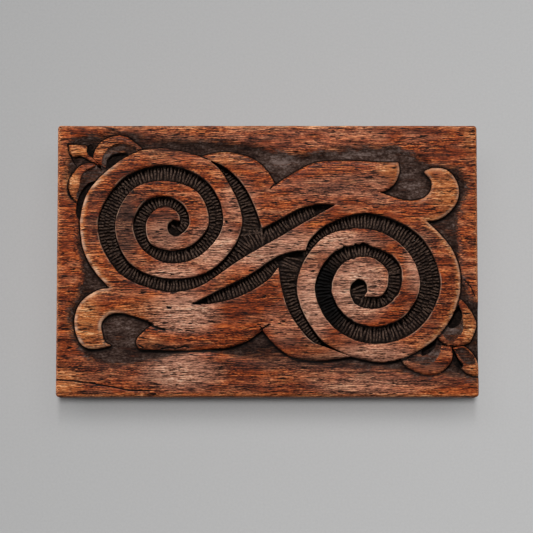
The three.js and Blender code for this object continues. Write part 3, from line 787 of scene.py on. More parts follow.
def peg_hardwood(name, grain_axis):
    # Split pegs of the same wood, driven in and cut flush: their end grain soaks up oil and turns dark
    material, tree = new_material(name)
    tone, _, relief = wood_grain(tree, grain_axis)
    wood = colour_ramp(tree, tone, (0.0, 0.5, 1.0), "#150a07 #452518 #6f4028")
    finish_wood(tree, wood, 0.6, relief, 0.2, 0.16)
    return material


def aged_brass():
    # Yellow brass sheet and wire, rubbed bright on top and browned where it is never touched
    material, tree = new_material("aged_brass")
    noise = partial(stretched_noise, tree, object_place(tree), 0)
    tarnish = noise(2.5, 2.5, 5.0)
    colour = colour_ramp(tree, tarnish, (0.3, 0.5, 0.7), "#775632 #af854c #cea769")
    rough = remapped(tree, tarnish, 0.3, 0.7, 0.5, 0.28)
    brushed = noise(20 / 3, 0.25, 2.0)
    finish(tree, brushed, 0.15, 0.03, {"Base Color": colour, "Metallic": 1.0, "Roughness": rough})
    return material


# Pieces cut from simple solids

def solid_block(x0, x1, y0, y1, z0, z1):
    """A block between its faces, in millimetres."""
    corners = [(x, y, z) for x in (x0, x1) for y in (y0, y1) for z in (z0, z1)]
    faces = [(0, 1, 3, 2), (4, 6, 7, 5), (0, 4, 5, 1), (2, 3, 7, 6), (0, 2, 6, 4), (1, 5, 7, 3)]
    return mesh_piece("block", corners, faces)


def turned(profile, sides, axis=2):
    """A solid turned from a profile of (radius, height) pairs, with closed ends. Axis 0 lays it along X."""
    vertices = []
    for radius, height in profile:
        for i in range(sides):
            angle = 2 * math.pi * i / sides
            across = (radius * math.cos(angle), radius * math.sin(angle))
            vertices.append((height, *across) if axis == 0 else (*across, height))
    faces = []
    for low in range(0, (len(profile) - 1) * sides, sides):
        high = low + sides
        for i in range(sides):
            j = (i + 1) % sides
            faces.append((low + i, low + j, high + j, high + i))
    faces.append(tuple(reversed(range(sides))))
    faces.append(tuple(range(len(vertices) - sides, len(vertices))))
    return mesh_piece("turned", vertices, faces)


def plain_mesh(piece):
    """Applies what the piece's modifiers make, as a plain mesh."""
    graph = bpy.context.evaluated_depsgraph_get()
    graph.update()
    made = bpy.data.meshes.new_from_object(piece.evaluated_get(graph))
    piece.modifiers.clear()
    piece.data = made
    made.name = piece.name
    return piece


def combined(piece, others, operation):
    """The piece joined with or cut by the others, which are used up."""
    for other in others:
        change = piece.modifiers.new("cut", "BOOLEAN")
        change.operation = operation
        change.solver = "MANIFOLD"
        change.object = other
    plain_mesh(piece)
    for other in others:
        bpy.data.objects.remove(other)
    return piece


def moved(piece, x=0, y=0, z=0):
    """Moves a piece by millimetres, in its mesh."""
    piece.data.transform(Matrix.Translation(Vector((x, y, z)) * MM))
    return piece


def bevelled(piece, width, segments=2, shortest=0.0):
    """Rounds the piece's sharp edges, in millimetres, where they are at least this long."""
    shape = bmesh.new()
    shape.from_mesh(piece.data)
    weight = shape.edges.layers.float.new("bevel_weight_edge")
    for edge in shape.edges:
        sharp = len(edge.link_faces) == 2 and edge.calc_face_angle(0) > math.radians(40)
        edge[weight] = 1.0 if sharp and edge.calc_length() > shortest * MM else 0.0
    shape.to_mesh(piece.data)
    shape.free()
    bevel = piece.modifiers.new("bevel", "BEVEL")
    bevel.limit_method = "WEIGHT"
    bevel.width = width * MM
    bevel.segments = segments
    bevel.use_clamp_overlap = True
    return plain_mesh(piece)


def from_cad(node, name):
    """A copy of a CAD solid with its loose triangles merged into clean faces."""
    piece = linked(name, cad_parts[node].data.copy())
    piece.data.materials.clear()
    shape = bmesh.new()
    shape.from_mesh(piece.data)
    bmesh.ops.remove_doubles(shape, verts=shape.verts, dist=0.005 * MM)
    bmesh.ops.dissolve_limit(shape, angle_limit=math.radians(1), verts=shape.verts, edges=shape.edges)
    shape.to_mesh(piece.data)
    shape.free()
    return piece


def smooth_with_creases(piece, angle=35):
    """Shades a piece smooth, with edges sharper than the angle kept crisp."""
    piece.data.shade_smooth()
    piece.data.set_sharp_from_angle(angle=math.radians(angle))
    return piece


def finished(piece, material, crease=35):
    """Gives a piece its material and its shading."""
    piece.data.materials.clear()
    piece.data.materials.append(material)
    return smooth_with_creases(piece, crease)


def set_attribute(piece, name, values, kind="FLOAT"):
    """A number or a vector for each point of a mesh, for its material or its nodes to read."""
    made = piece.data.attributes.new(name, kind, "POINT")
    field = "vector" if kind == "FLOAT_VECTOR" else "value"
    made.data.foreach_set(field, np.asarray(values, np.float32).ravel())


# Geometry Nodes

def new_group(name, inputs, result):
    """A geometry tree with named inputs, and what it is given."""
    tree = bpy.data.node_groups.new(name, "GeometryNodeTree")
    for label, kind in inputs.items():
        tree.interface.new_socket(label, in_out="INPUT", socket_type="NodeSocket" + kind)
    tree.interface.new_socket(result, in_out="OUTPUT", socket_type="NodeSocketGeometry")
    return tree, add(tree, "NodeGroupInput").outputs


def end_group(tree, geometry, material):
    """Gives the geometry its material and hands it out."""
    geometry = add(tree, "GeometryNodeSetMaterial", {"Geometry": geometry, "Material": material})
    add(tree, "NodeGroupOutput", {0: geometry})
    return tree


def drawn(tree, seed, low, high):
    """A number drawn at random for each point."""
    return add(tree, "FunctionNodeRandomValue", {2: low, 3: high, "Seed": seed}).outputs[1]


def named(tree, name, kind="FLOAT"):
    """An attribute of the points."""
    return add(tree, "GeometryNodeInputNamedAttribute", {"Name": name}, data_type=kind)


def turned_further(tree, rotation, angle):
    """The rotation, turned further about its own Z."""
    spin = add(tree, "FunctionNodeAxisAngleToRotation", {"Axis": (0, 0, 1), "Angle": angle})
    return add(tree, "FunctionNodeRotateRotation", {0: rotation, 1: spin}, rotation_space="LOCAL")


def moved_points(tree, geometry, **how):
    """The geometry with its points put elsewhere or shifted."""
    return add(tree, "GeometryNodeSetPosition", {"Geometry": geometry, **how})


def realized(tree, points, instance, rotation, **more):
    """Real copies of an instance on points."""
    copies = add(tree, "GeometryNodeInstanceOnPoints",
                 {"Points": points, "Instance": instance, "Rotation": rotation, **more})
    return add(tree, "GeometryNodeRealizeInstances", {0: copies})


def copies_tree():
    """A tree that sets a copy of a pattern on each point, tilted as the point says and turned at random."""
    tree, given = new_group("set_copies", {"Places": "Geometry", "Pattern": "Object", "Turn": "Float",
                                           "Seed": "Int", "Finish": "Material"}, "Copies")
    pattern = add(tree, "GeometryNodeObjectInfo", {"Object": given["Pattern"]}).outputs["Geometry"]
    tilt = add(tree, "FunctionNodeEulerToRotation", {0: named(tree, "tilt", "FLOAT_VECTOR")})
    turn = drawn(tree, given["Seed"], maths(tree, "MULTIPLY", given["Turn"], -1.0), given["Turn"])
    real = realized(tree, given["Places"], pattern, turned_further(tree, tilt, turn))
    return end_group(tree, real, given["Finish"])


def cuts_tree():
    """A tree that lays short chiselled ridges across a line, from bank to bank of its groove."""
    tree, given = new_group("lay_cuts", {"Line": "Geometry", "Pitch": "Float", "Height": "Float",
                                         "Seed": "Int", "Finish": "Material"}, "Cuts")

    # One ridge: steep on the side of the stop cut, sloping on the other, and low at both ends
    bar = add(tree, "GeometryNodeMeshCube",
              {"Size": (1, 1, 1), "Vertices X": 4, "Vertices Y": 7, "Vertices Z": 2})
    x, y, z = add(tree, "ShaderNodeSeparateXYZ", {0: add(tree, "GeometryNodeInputPosition")}).outputs
    saw = maths(tree, "MINIMUM", remapped(tree, x, -0.5, -0.2), remapped(tree, x, 0.5, 0.3))
    falloff = maths(tree, "POWER", maths(tree, "MULTIPLY", y, 2.0), 6.0)
    crest = maths(tree, "MULTIPLY", saw, maths(tree, "SUBTRACT", 1.0, falloff))
    crest = maths(tree, "MULTIPLY", crest, maths(tree, "GREATER_THAN", z, 0.0))
    lift = maths(tree, "SUBTRACT", maths(tree, "ADD", crest, z), 0.5)
    # The crest is kept for the material, which paints the lower parts of each ridge darker as shade
    marked = add(tree, "GeometryNodeStoreNamedAttribute", {"Geometry": bar, "Name": "crest", "Value": crest},
                 data_type="FLOAT", domain="POINT")
    ridge = moved_points(tree, marked, Position=add(tree, "ShaderNodeCombineXYZ", {0: x, 1: y, 2: lift}))

    # Stations along the line, each with the groove's width there
    line = add(tree, "GeometryNodeMeshToCurve", {0: given["Line"]})
    even = add(tree, "GeometryNodeResampleCurve", {"Curve": line, "Length": given["Pitch"]}, mode="LENGTH")
    way = add(tree, "GeometryNodeCaptureAttribute", {"Geometry": even})
    way.capture_items.new("VECTOR", "Tangent")
    tree.links.new(add(tree, "GeometryNodeInputTangent").outputs[0], way.inputs[1])
    stations = add(tree, "GeometryNodeCurveToPoints", {"Curve": way}, mode="EVALUATED")
    heading = add(tree, "FunctionNodeAlignRotationToVector", {"Vector": way.outputs[1]}, axis="X",
                  pivot_axis="Z")
    heading = turned_further(tree, heading, drawn(tree, given["Seed"], -0.15, 0.15))
    thick = maths(tree, "MULTIPLY", given["Pitch"], 0.92)
    length = maths(tree, "MULTIPLY", named(tree, "width"), drawn(tree, given["Seed"], 0.94, 1.12))
    height = maths(tree, "MULTIPLY", given["Height"], drawn(tree, given["Seed"], 0.6, 1.15))
    size = add(tree, "ShaderNodeCombineXYZ", {0: thick, 1: length, 2: height})
    # A hand strays: each cut is a little off its station
    far = 0.2 * MM
    stray = add(tree, "FunctionNodeRandomValue",
                {0: (-far, -far, 0), 1: (far, far, 0), "Seed": given["Seed"]}, data_type="FLOAT_VECTOR")
    real = realized(tree, moved_points(tree, stations, Offset=stray), ridge, heading, Scale=size)
    # Nor is any cut quite straight
    bends = add(tree, "ShaderNodeTexNoise", {"Scale": 1 / (2.2 * MM), "Detail": 1.0}).outputs["Color"]
    bends = add(tree, "ShaderNodeVectorMath", {0: bends, 1: (0.5, 0.5, 0.5)}, operation="SUBTRACT")
    bends = add(tree, "ShaderNodeVectorMath", {0: bends, 1: (1.5 * MM, 1.5 * MM, 0.0)}, operation="MULTIPLY")
    return end_group(tree, moved_points(tree, real, Offset=bends), given["Finish"])


def set_inputs(piece, tree, **values):
    """Puts the tree on the piece, gives it its inputs and makes the result a plain mesh."""
    nodes = piece.modifiers.new("nodes", "NODES")
    nodes.node_group = tree
    for socket in tree.interface.items_tree:
        if socket.in_out == "INPUT" and socket.name in values:
            nodes[socket.identifier] = values[socket.name]
    piece.update_tag()
    return plain_mesh(piece)


def set_copies(name, pattern, places, most_turn, seed, material):
    """One piece of copies of a pattern. A place is a point in millimetres and a tilt about X in degrees."""
    piece = mesh_piece(name, [place[:3] for place in places], [])
    set_attribute(piece, "tilt", [(math.radians(place[3]), 0, 0) for place in places], "FLOAT_VECTOR")
    most_turn = math.radians(most_turn)
    set_inputs(piece, copies_tree(), Pattern=pattern, Turn=most_turn, Seed=seed, Finish=material)
    bpy.data.objects.remove(pattern)
    return smooth_with_creases(piece)


# Chisel marks

def groove_middles():
    """Lines along the middles of the grooves, as lists of points in millimetres."""
    left = [(outer + inner) / 2 for outer, inner in zip(LEFT_OUTER_BANK[1:], LEFT_INNER_BANK[::-1])]
    right = [(outer + inner) / 2 for outer, inner in zip(RIGHT_OUTER_BANK[-2::-1], RIGHT_INNER_BANK)]
    return [
        [(-45.2, 16.5), *turns(LEFT_EYE, 40, 45, left), (-34.5, -8.5), (-22, -1), (-8, 9), (2, 14),
         (12, 19.5), (24, 25.2)],
        [(-8.5, 13.5), (-11, 20), (-11.8, 26), (-13.3, 32.7), (-17.2, 40), (-24, 47)],
        [(46, -13), *turns(RIGHT_EYE, 266, 45, right), (40.4, 19), (31.6, 16.2), (25.7, 12.4), (21.8, 8.4),
         (18.5, 3)],
        [(13.5, 1), (12, -6), (10.5, -15), (13, -24), (18.8, -33), (26.5, -40), (34.5, -44.5)],
        [(5, -2), (0, -5), (-8.5, -10.7), (-20, -17.2), (-30, -20.5)],
    ]


def in_sector(eye, points, middle, half):
    """Whether points lie within some degrees of a bearing, counted from due east, on an eye's own turns."""
    away = points - np.asarray(eye)
    turn = np.degrees(np.arctan2(away[:, 1], away[:, 0])) - middle
    return (np.abs((turn + 180) % 360 - 180) < half) & (np.hypot(*away.T) < REACH_OF_TURNS)


def laid_cuts(material):
    """Rows of chisel marks on the floors of the grooves, as wide as their groove or set off in it."""
    vertices = []
    edges = []
    widths = []
    soot = []
    for middle in groove_middles():
        line = spaced(smooth_run(middle), 0.8)
        way = np.gradient(line, axis=0)
        way /= np.hypot(*way.T)[:, None]
        side = np.column_stack([-way[:, 1], way[:, 0]])
        # How far the groove's floor runs to either side, felt for in small steps
        step = 0.1
        reaches = np.arange(0.2, 7, step)
        banks = []
        for hand in (1, -1):
            depth = np.array([look_up(groove_field, line + hand * side * reach) for reach in reaches])
            free = np.minimum.accumulate(depth < -WALL_RUN, axis=0)
            banks.append(np.maximum(free.sum(axis=0) * step, step))
        centre = line + side * ((banks[0] - banks[1]) / 2)[:, None]
        wide = banks[0] + banks[1]
        # Where a groove is wide, two or three staggered rows of short cuts are struck, and elsewhere one
        # goes across
        triple = in_sector(RIGHT_EYE, centre, 12, 33) | in_sector(LEFT_EYE, centre, 172, 33)
        double = (in_sector(RIGHT_EYE, centre, 0, 50) | in_sector(LEFT_EYE, centre, 0, 50)) & ~triple
        triple &= wide > 6
        double &= wide > 4.5
        # How far off the middle a row is and how long its cuts are, as shares of the width, how far the row
        # is shifted along the groove, as a share of the pitch, and where it runs
        rows = [(-0.25, 0.55, -0.25, double), (0.25, 0.55, 0.25, double), (-0.34, 0.4, -0.25, triple),
                (0, 0.4, 0.25, triple), (0.34, 0.4, -0.25, triple), (0, 1.02, 0, ~(double | triple))]
        for off, length, along, here in rows:
            row = centre + side * (off * wide)[:, None] + way * (along * PITCH_OF_CUTS)
            good = (wide > 1.6) & here
            joined = np.flatnonzero((good & np.roll(good, -1))[:-1]) + len(vertices)
            edges += zip(joined.tolist(), (joined + 1).tolist())
            floor = np.full(len(line), LID_TOP - GROOVE_DEPTH - 0.12)
            vertices += np.column_stack([row, floor]).tolist()
            widths += (wide * length * MM).tolist()
            # How much soot and painted shade each row gets in the right groove's inner turn
            soot += soot_and_shade_at(row).tolist()
    piece = mesh_piece("chisel_marks", vertices, [], edges)
    set_attribute(piece, "width", widths)
    set_attribute(piece, "soot", soot)
    set_inputs(piece, cuts_tree(), Pitch=PITCH_OF_CUTS * MM, Height=CUT_HEIGHT * MM, Seed=11, Finish=material)
    return smooth_with_creases(piece, 40)


# Hinges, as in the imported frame

def hinge_leaf(name, middle, own_knuckles, upward):
    """A brass butt hinge leaf with its knuckles. Upward is 1 for the lid's leaf and -1 for the body's."""
    half = HINGE_LENGTH / 2
    near = KNUCKLE_RADIUS + MOVING_GAP
    axis_height = LEAF_INSET + LEAF_THICKNESS
    leaf = bevelled(solid_block(-half, half, -near - LEAF_WIDTH, -near + 0.2, 0, LEAF_THICKNESS), 0.18)
    bore = [(PIN_RADIUS + MOVING_GAP, end * (half + 1)) for end in (-1, 1)]
    bores = [moved(turned(bore, 32, 0), 0, 0, axis_height)]
    barrels = []
    chamfer = 0.15
    small = KNUCKLE_RADIUS - chamfer
    for i in own_knuckles:
        x0 = -half + i * KNUCKLE_PITCH + (MOVING_GAP / 2 if i > 0 else 0)
        x1 = -half + (i + 1) * KNUCKLE_PITCH - (MOVING_GAP / 2 if i < KNUCKLES - 1 else 0)
        ends = [(small, x0), (KNUCKLE_RADIUS, x0 + chamfer), (KNUCKLE_RADIUS, x1 - chamfer), (small, x1)]
        barrels.append(moved(turned(ends, 40, 0), 0, 0, axis_height))
        barrels.append(solid_block(x0 + 0.02, x1 - 0.02, -near - 0.5, 0, 0.02, LEAF_THICKNESS))
    shank = SCREW_SHANK_RADIUS + SCREW_FIT
    head = SCREW_HEAD_RADIUS + 0.12
    for x in SCREW_PLACES:
        hole = [(shank, -1), (shank, LEAF_THICKNESS - SCREW_HEAD_HEIGHT), (head, LEAF_THICKNESS + 0.01),
                (head, LEAF_THICKNESS + 1)]
        bores.append(moved(turned(hole, 32), x, -SCREW_ROW, 0))
    combined(leaf, barrels, "UNION")
    combined(leaf, bores, "DIFFERENCE")
    leaf.name = name
    if upward > 0:
        leaf.data.transform(Matrix.Rotation(math.pi, 4, "Y"))
    return moved(leaf, middle, HINGE_AXIS_Y, BOX_HEIGHT + upward * axis_height)


def hinge_pin(name, middle):
    """The pin, with its rounded ends just inside the outer knuckles."""
    half = HINGE_LENGTH / 2
    profile = [(0.35, -half), (0.62, -half + 0.08), (PIN_RADIUS, -half + 0.35), (PIN_RADIUS, half - 0.35),
               (0.62, half - 0.08), (0.35, half)]
    pin = moved(turned(profile, 32, 0), middle, HINGE_AXIS_Y, BOX_HEIGHT)
    pin.name = name
    return pin


def hinge_cuts():
    """What the lid's leaves, knuckles and screws take out of its underside."""
    cuts = []
    near = HINGE_AXIS_Y - KNUCKLE_RADIUS - MOVING_GAP
    leaf_half = HINGE_LENGTH / 2 + LEAF_FIT
    knuckle_half = HINGE_LENGTH / 2 + MOVING_GAP
    pilot = SCREW_SHANK_RADIUS + SCREW_FIT
    for middle in HINGE_MIDDLES:
        cuts.append(solid_block(middle - leaf_half, middle + leaf_half, near - LEAF_WIDTH - LEAF_FIT,
                                near + 1, BOX_HEIGHT - 1,
                                BOX_HEIGHT + LEAF_INSET + LEAF_THICKNESS + LEAF_FIT))
        cuts.append(solid_block(middle - knuckle_half, middle + knuckle_half, near, LID_WIDTH / 2 + 1,
                                BOX_HEIGHT - 1.1, BOX_HEIGHT + KNUCKLE_RADIUS + MOVING_GAP))
        for x in SCREW_PLACES:
            cuts.append(moved(turned([(pilot, 0), (pilot, SCREW_LENGTH + 0.3)], 16), middle + x,
                              HINGE_AXIS_Y - SCREW_ROW, BOX_HEIGHT))
    return cuts


def wood_screw():
    """A countersunk brass wood screw with a slotted head at height 0 and its thread below."""
    root = SCREW_SHANK_RADIUS * 0.72
    profile = [(0.05, -SCREW_LENGTH), (SCREW_SHANK_RADIUS * 0.45, -SCREW_LENGTH + 1)]
    for turn in range(7):
        low = -SCREW_LENGTH + 1.2 + turn * 0.75
        profile += [(root, low), (SCREW_SHANK_RADIUS, low + 0.3), (root, low + 0.6)]
    profile += [(SCREW_SHANK_RADIUS, -SCREW_HEAD_HEIGHT), (SCREW_HEAD_RADIUS, -0.12),
                (SCREW_HEAD_RADIUS - 0.06, -0.02), (SCREW_HEAD_RADIUS - 0.3, 0)]
    slot = solid_block(-3, 3, -0.24, 0.24, -0.45, 1)
    return combined(turned(profile, 20), [slot], "DIFFERENCE")


def peg(radius, length):
    """A wooden peg with a slightly rounded head at height 0."""
    profile = [(radius - 0.1, -length), (radius, -length + 0.3), (radius, -0.3), (radius - 0.09, -0.1),
               (radius - 0.32, -0.02), (radius * 0.4, 0)]
    return turned(profile, 24)


# Scene

def studio():
    """Plain floor, soft studio light and the camera over the lid."""
    scene = bpy.context.scene
    scene.world = bpy.data.worlds.new("studio")
    scene.world.use_nodes = True
    background = scene.world.node_tree.nodes["Background"].inputs
    background["Color"].default_value = linear("#ffffff")
    background["Strength"].default_value = 0.07

    half = 3000
    floor = mesh_piece("floor", [(-half, -half, 0), (half, -half, 0), (half, half, 0), (-half, half, 0)],
                       [(0, 1, 2, 3)])
    # Grey card with a painted light falloff, a little darker towards its far left, and the faint cloudiness
    # of laid fibres
    material, tree = new_material("grey_card")
    place = object_place(tree)
    painted_falloff = add(tree, "ShaderNodeVectorMath", {0: place, 1: (0.6, -0.2, 0)}, operation="DOT_PRODUCT")
    cloud = centred(tree, stretched_noise(tree, place, 0, 1.2, 1.2, 4.0, 0.7), 0.7, 0.5)
    cloud = maths(tree, "MULTIPLY_ADD", painted_falloff.outputs["Value"], 3.0, cloud)
    colour = colour_ramp(tree, cloud, (0.0, 0.5, 1.0), "#a9a9a9 #b4b4b4 #bfbfbf")
    card = add(tree, "ShaderNodeBsdfPrincipled",
               {"Base Color": colour, "Roughness": 0.9, "Specular IOR Level": 0.2})
    add(tree, "ShaderNodeOutputMaterial", {0: card})
    floor.data.materials.append(material)

    # Name, bearing and height in degrees, distance and size across and along in metres, power, and what it
    # lights. Bearings are counted from +Y, towards the hinges, to +X.
    lamps = [
        ("key", 358, 50, 1.3, (0.2, 0.2), 12.7, "object"),
        ("left", 270, 20, 1.2, (0.3, 0.3), 8.6, "object"),
        ("right", 92, 20, 1.2, (0.3, 0.3), 4.2, "object"),
        ("overhead", 180, 86.8, 1.5, (0.06, 0.1), 12.0, "floor"),
        ("overhead_soft", 0, 88.3, 1.5, (0.06, 0.35), 7.2, "floor"),
        ("overhead_wide", 0, 84, 1.5, (0.8, 0.35), 3.9, "floor"),
    ]
    lit = {}
    for name, state in (("object", "EXCLUDE"), ("floor", "INCLUDE")):
        lit[name] = bpy.data.collections.new(name + "_lamps")
        lit[name].objects.link(floor)
        lit[name].collection_objects[0].light_linking.link_state = state
    for name, bearing, height, distance, size, power, lights_up in lamps:
        lamp = bpy.data.lights.new(name, "AREA")
        lamp.shape = "ELLIPSE"
        lamp.size, lamp.size_y = size
        lamp.energy = power
        carrier = linked(name, lamp)
        turn = math.radians(bearing)
        rise = math.radians(height)
        way = Vector((math.sin(turn) * math.cos(rise), math.cos(turn) * math.cos(rise), math.sin(rise)))
        carrier.location = Vector((0, 0, LID_TOP * MM)) + way * distance
        carrier.rotation_euler = (-way).to_track_quat("-Z", "Y").to_euler()
        carrier.light_linking.receiver_collection = lit[lights_up]

    camera = bpy.data.cameras.new("camera")
    camera.sensor_width = 36
    camera.lens = camera.sensor_width * CAMERA_DISTANCE / WIDTH_SEEN
    camera.clip_end = 20
    stand = linked("camera", camera)
    aim = Vector((-0.4, -3.0, LID_TOP)) * MM
    tilt = math.radians(84.6)
    back = Vector((0, -math.cos(tilt), math.sin(tilt)))
    stand.location = aim + back * CAMERA_DISTANCE * MM
    stand.rotation_euler = (-back).to_track_quat("-Z", "Y").to_euler()
    scene.camera = stand
    scene.view_settings.view_transform = "Standard"


# Soft places on the face: middle, size along X and Y, and how much. Hands have rubbed some pale.
HANDLED_PLACES = [
    (44, -14, 20, 20, 1.0), (23, -20, 13, 22, 1.0), (36, 9, 26, 8, 0.75), (76, -2, 9, 18, 0.7),
    (52, -47, 28, 7, 0.75), (2, 6, 30, 14, 0.8), (-26, 8, 16, 16, 0.8), (-48, -8, 22, 8, 0.7),
    (-51, 12, 12, 12, 0.6), (-42, -26, 21, 13, 1.0), (-43, -55, 24, 12, 0.85), (40, 36, 44, 9, 0.3),
    (-14, 30, 12, 14, 0.45), (8, -32, 12, 14, 0.3), (20, 62, 70, 8, 0.2), (48, -62, 36, 8, 0.45),
]
# Edges and corners where lighter wood shows through, with painted highlights on the hooks' and leaves' edges
RUBBED_AND_HIGHLIT_PLACES = [
    (-91, -30, 10, 16, 1.0), (90, 36, 12, 12, 0.75), (62, 46, 9, 6, 0.75), (104, 62, 8, 12, 0.6),
    (-102, -62, 12, 12, 0.6), (-98, 40, 5, 12, 0.8), (-80, 57, 16, 6, 0.6), (102, -34, 6, 14, 0.8),
    (100, -31, 6, 9, 1.0), (-20, 52, 14, 6, 0.45), (26, -44, 16, 6, 0.25), (-62, -41, 14, 4, 0.45),
    (103, -54, 5, 8, 0.6), (-62, 54, 26, 4, 0.3), (-95, 56, 7, 5, 0.9), (-84, 57, 6, 7, 0.5),
    (101, -55, 6, 5, 0.4), (-60, -24, 18, 8, 0.3),
]
# Places painted darker, partly as old grime and partly as painted shade
GRIME_AND_SHADE_PLACES = [
    (-71, 18, 9, 24, 1.0), (-52, 16, 12, 14, 0.4), (-64, 30, 10, 8, 0.5), (-87, 20, 4, 26, 0.45),
    (84, -38, 12, 12, 0.45), (84, 14, 12, 10, 0.35), (-75, -50, 30, 7, 0.5), (20, -51, 50, 6, 0.8),
    (50, -54, 30, 5, 0.7), (38, 40, 26, 7, 0.35), (-70, -60, 36, 6, 0.3), (4, -62, 60, 5, 0.3),
    (-48, 59, 24, 8, 0.75), (16, -42, 14, 8, 0.35), (60, 42, 30, 5, 0.25), (-58, -42, 30, 4, 0.3),
    (80, -54, 15, 4, 0.65), (94, -56, 8, 4, 1.0), (86, -60, 18, 5, 0.4),
]
# Ground that kept less of its black stain
REDDENED_PLACES = [
    (-97, 12, 6, 34, 0.6), (6, -50, 30, 8, 0.5), (99, 4, 5, 30, 0.5), (-60, 60, 14, 6, 0.2),
    (88, 14, 8, 8, 0.2),
]
# Ground that dust has greyed, and ground that it has hardly reached
DUSTY_PLACES = [
    (7, 51, 12, 8, 0.9), (44, 56, 34, 5, 0.6), (74, 38, 12, 12, 0.35), (-74, -36, 14, 8, 0.3),
    (88, -33, 10, 8, 0.6), (-80, 50, 10, 8, 0.7), (82, -48, 12, 6, 0.5), (68, 53, 18, 6, 0.45),
]
CLEAN_PLACES = [
    (6, -46, 28, 9, 0.9),
]


def soft_places(points, places):
    """How much each point lies in one of the soft places, from 0 to 1."""
    most = np.zeros(len(points))
    for x, y, wide, high, amount in places:
        away = np.hypot((points[:, 0] - x) / wide, (points[:, 1] - y) / high)
        most = np.maximum(most, amount * (1 - ease(away, 0.3, 1.15)))
    return most


def soot_and_shade_at(points):
    """How much of the right groove's inner turn is painted black, as soot and as painted shade: its western
    side.
    """
    away = points - RIGHT_EYE
    angle = np.degrees(np.arctan2(away[:, 1], away[:, 0])) % 360
    radius = np.hypot(away[:, 0], away[:, 1])
    turn = ease(angle, 130, 165) * (1 - ease(angle, 215, 250))
    return turn * ease(radius, 15, 17) * (1 - ease(radius, 29, 31))


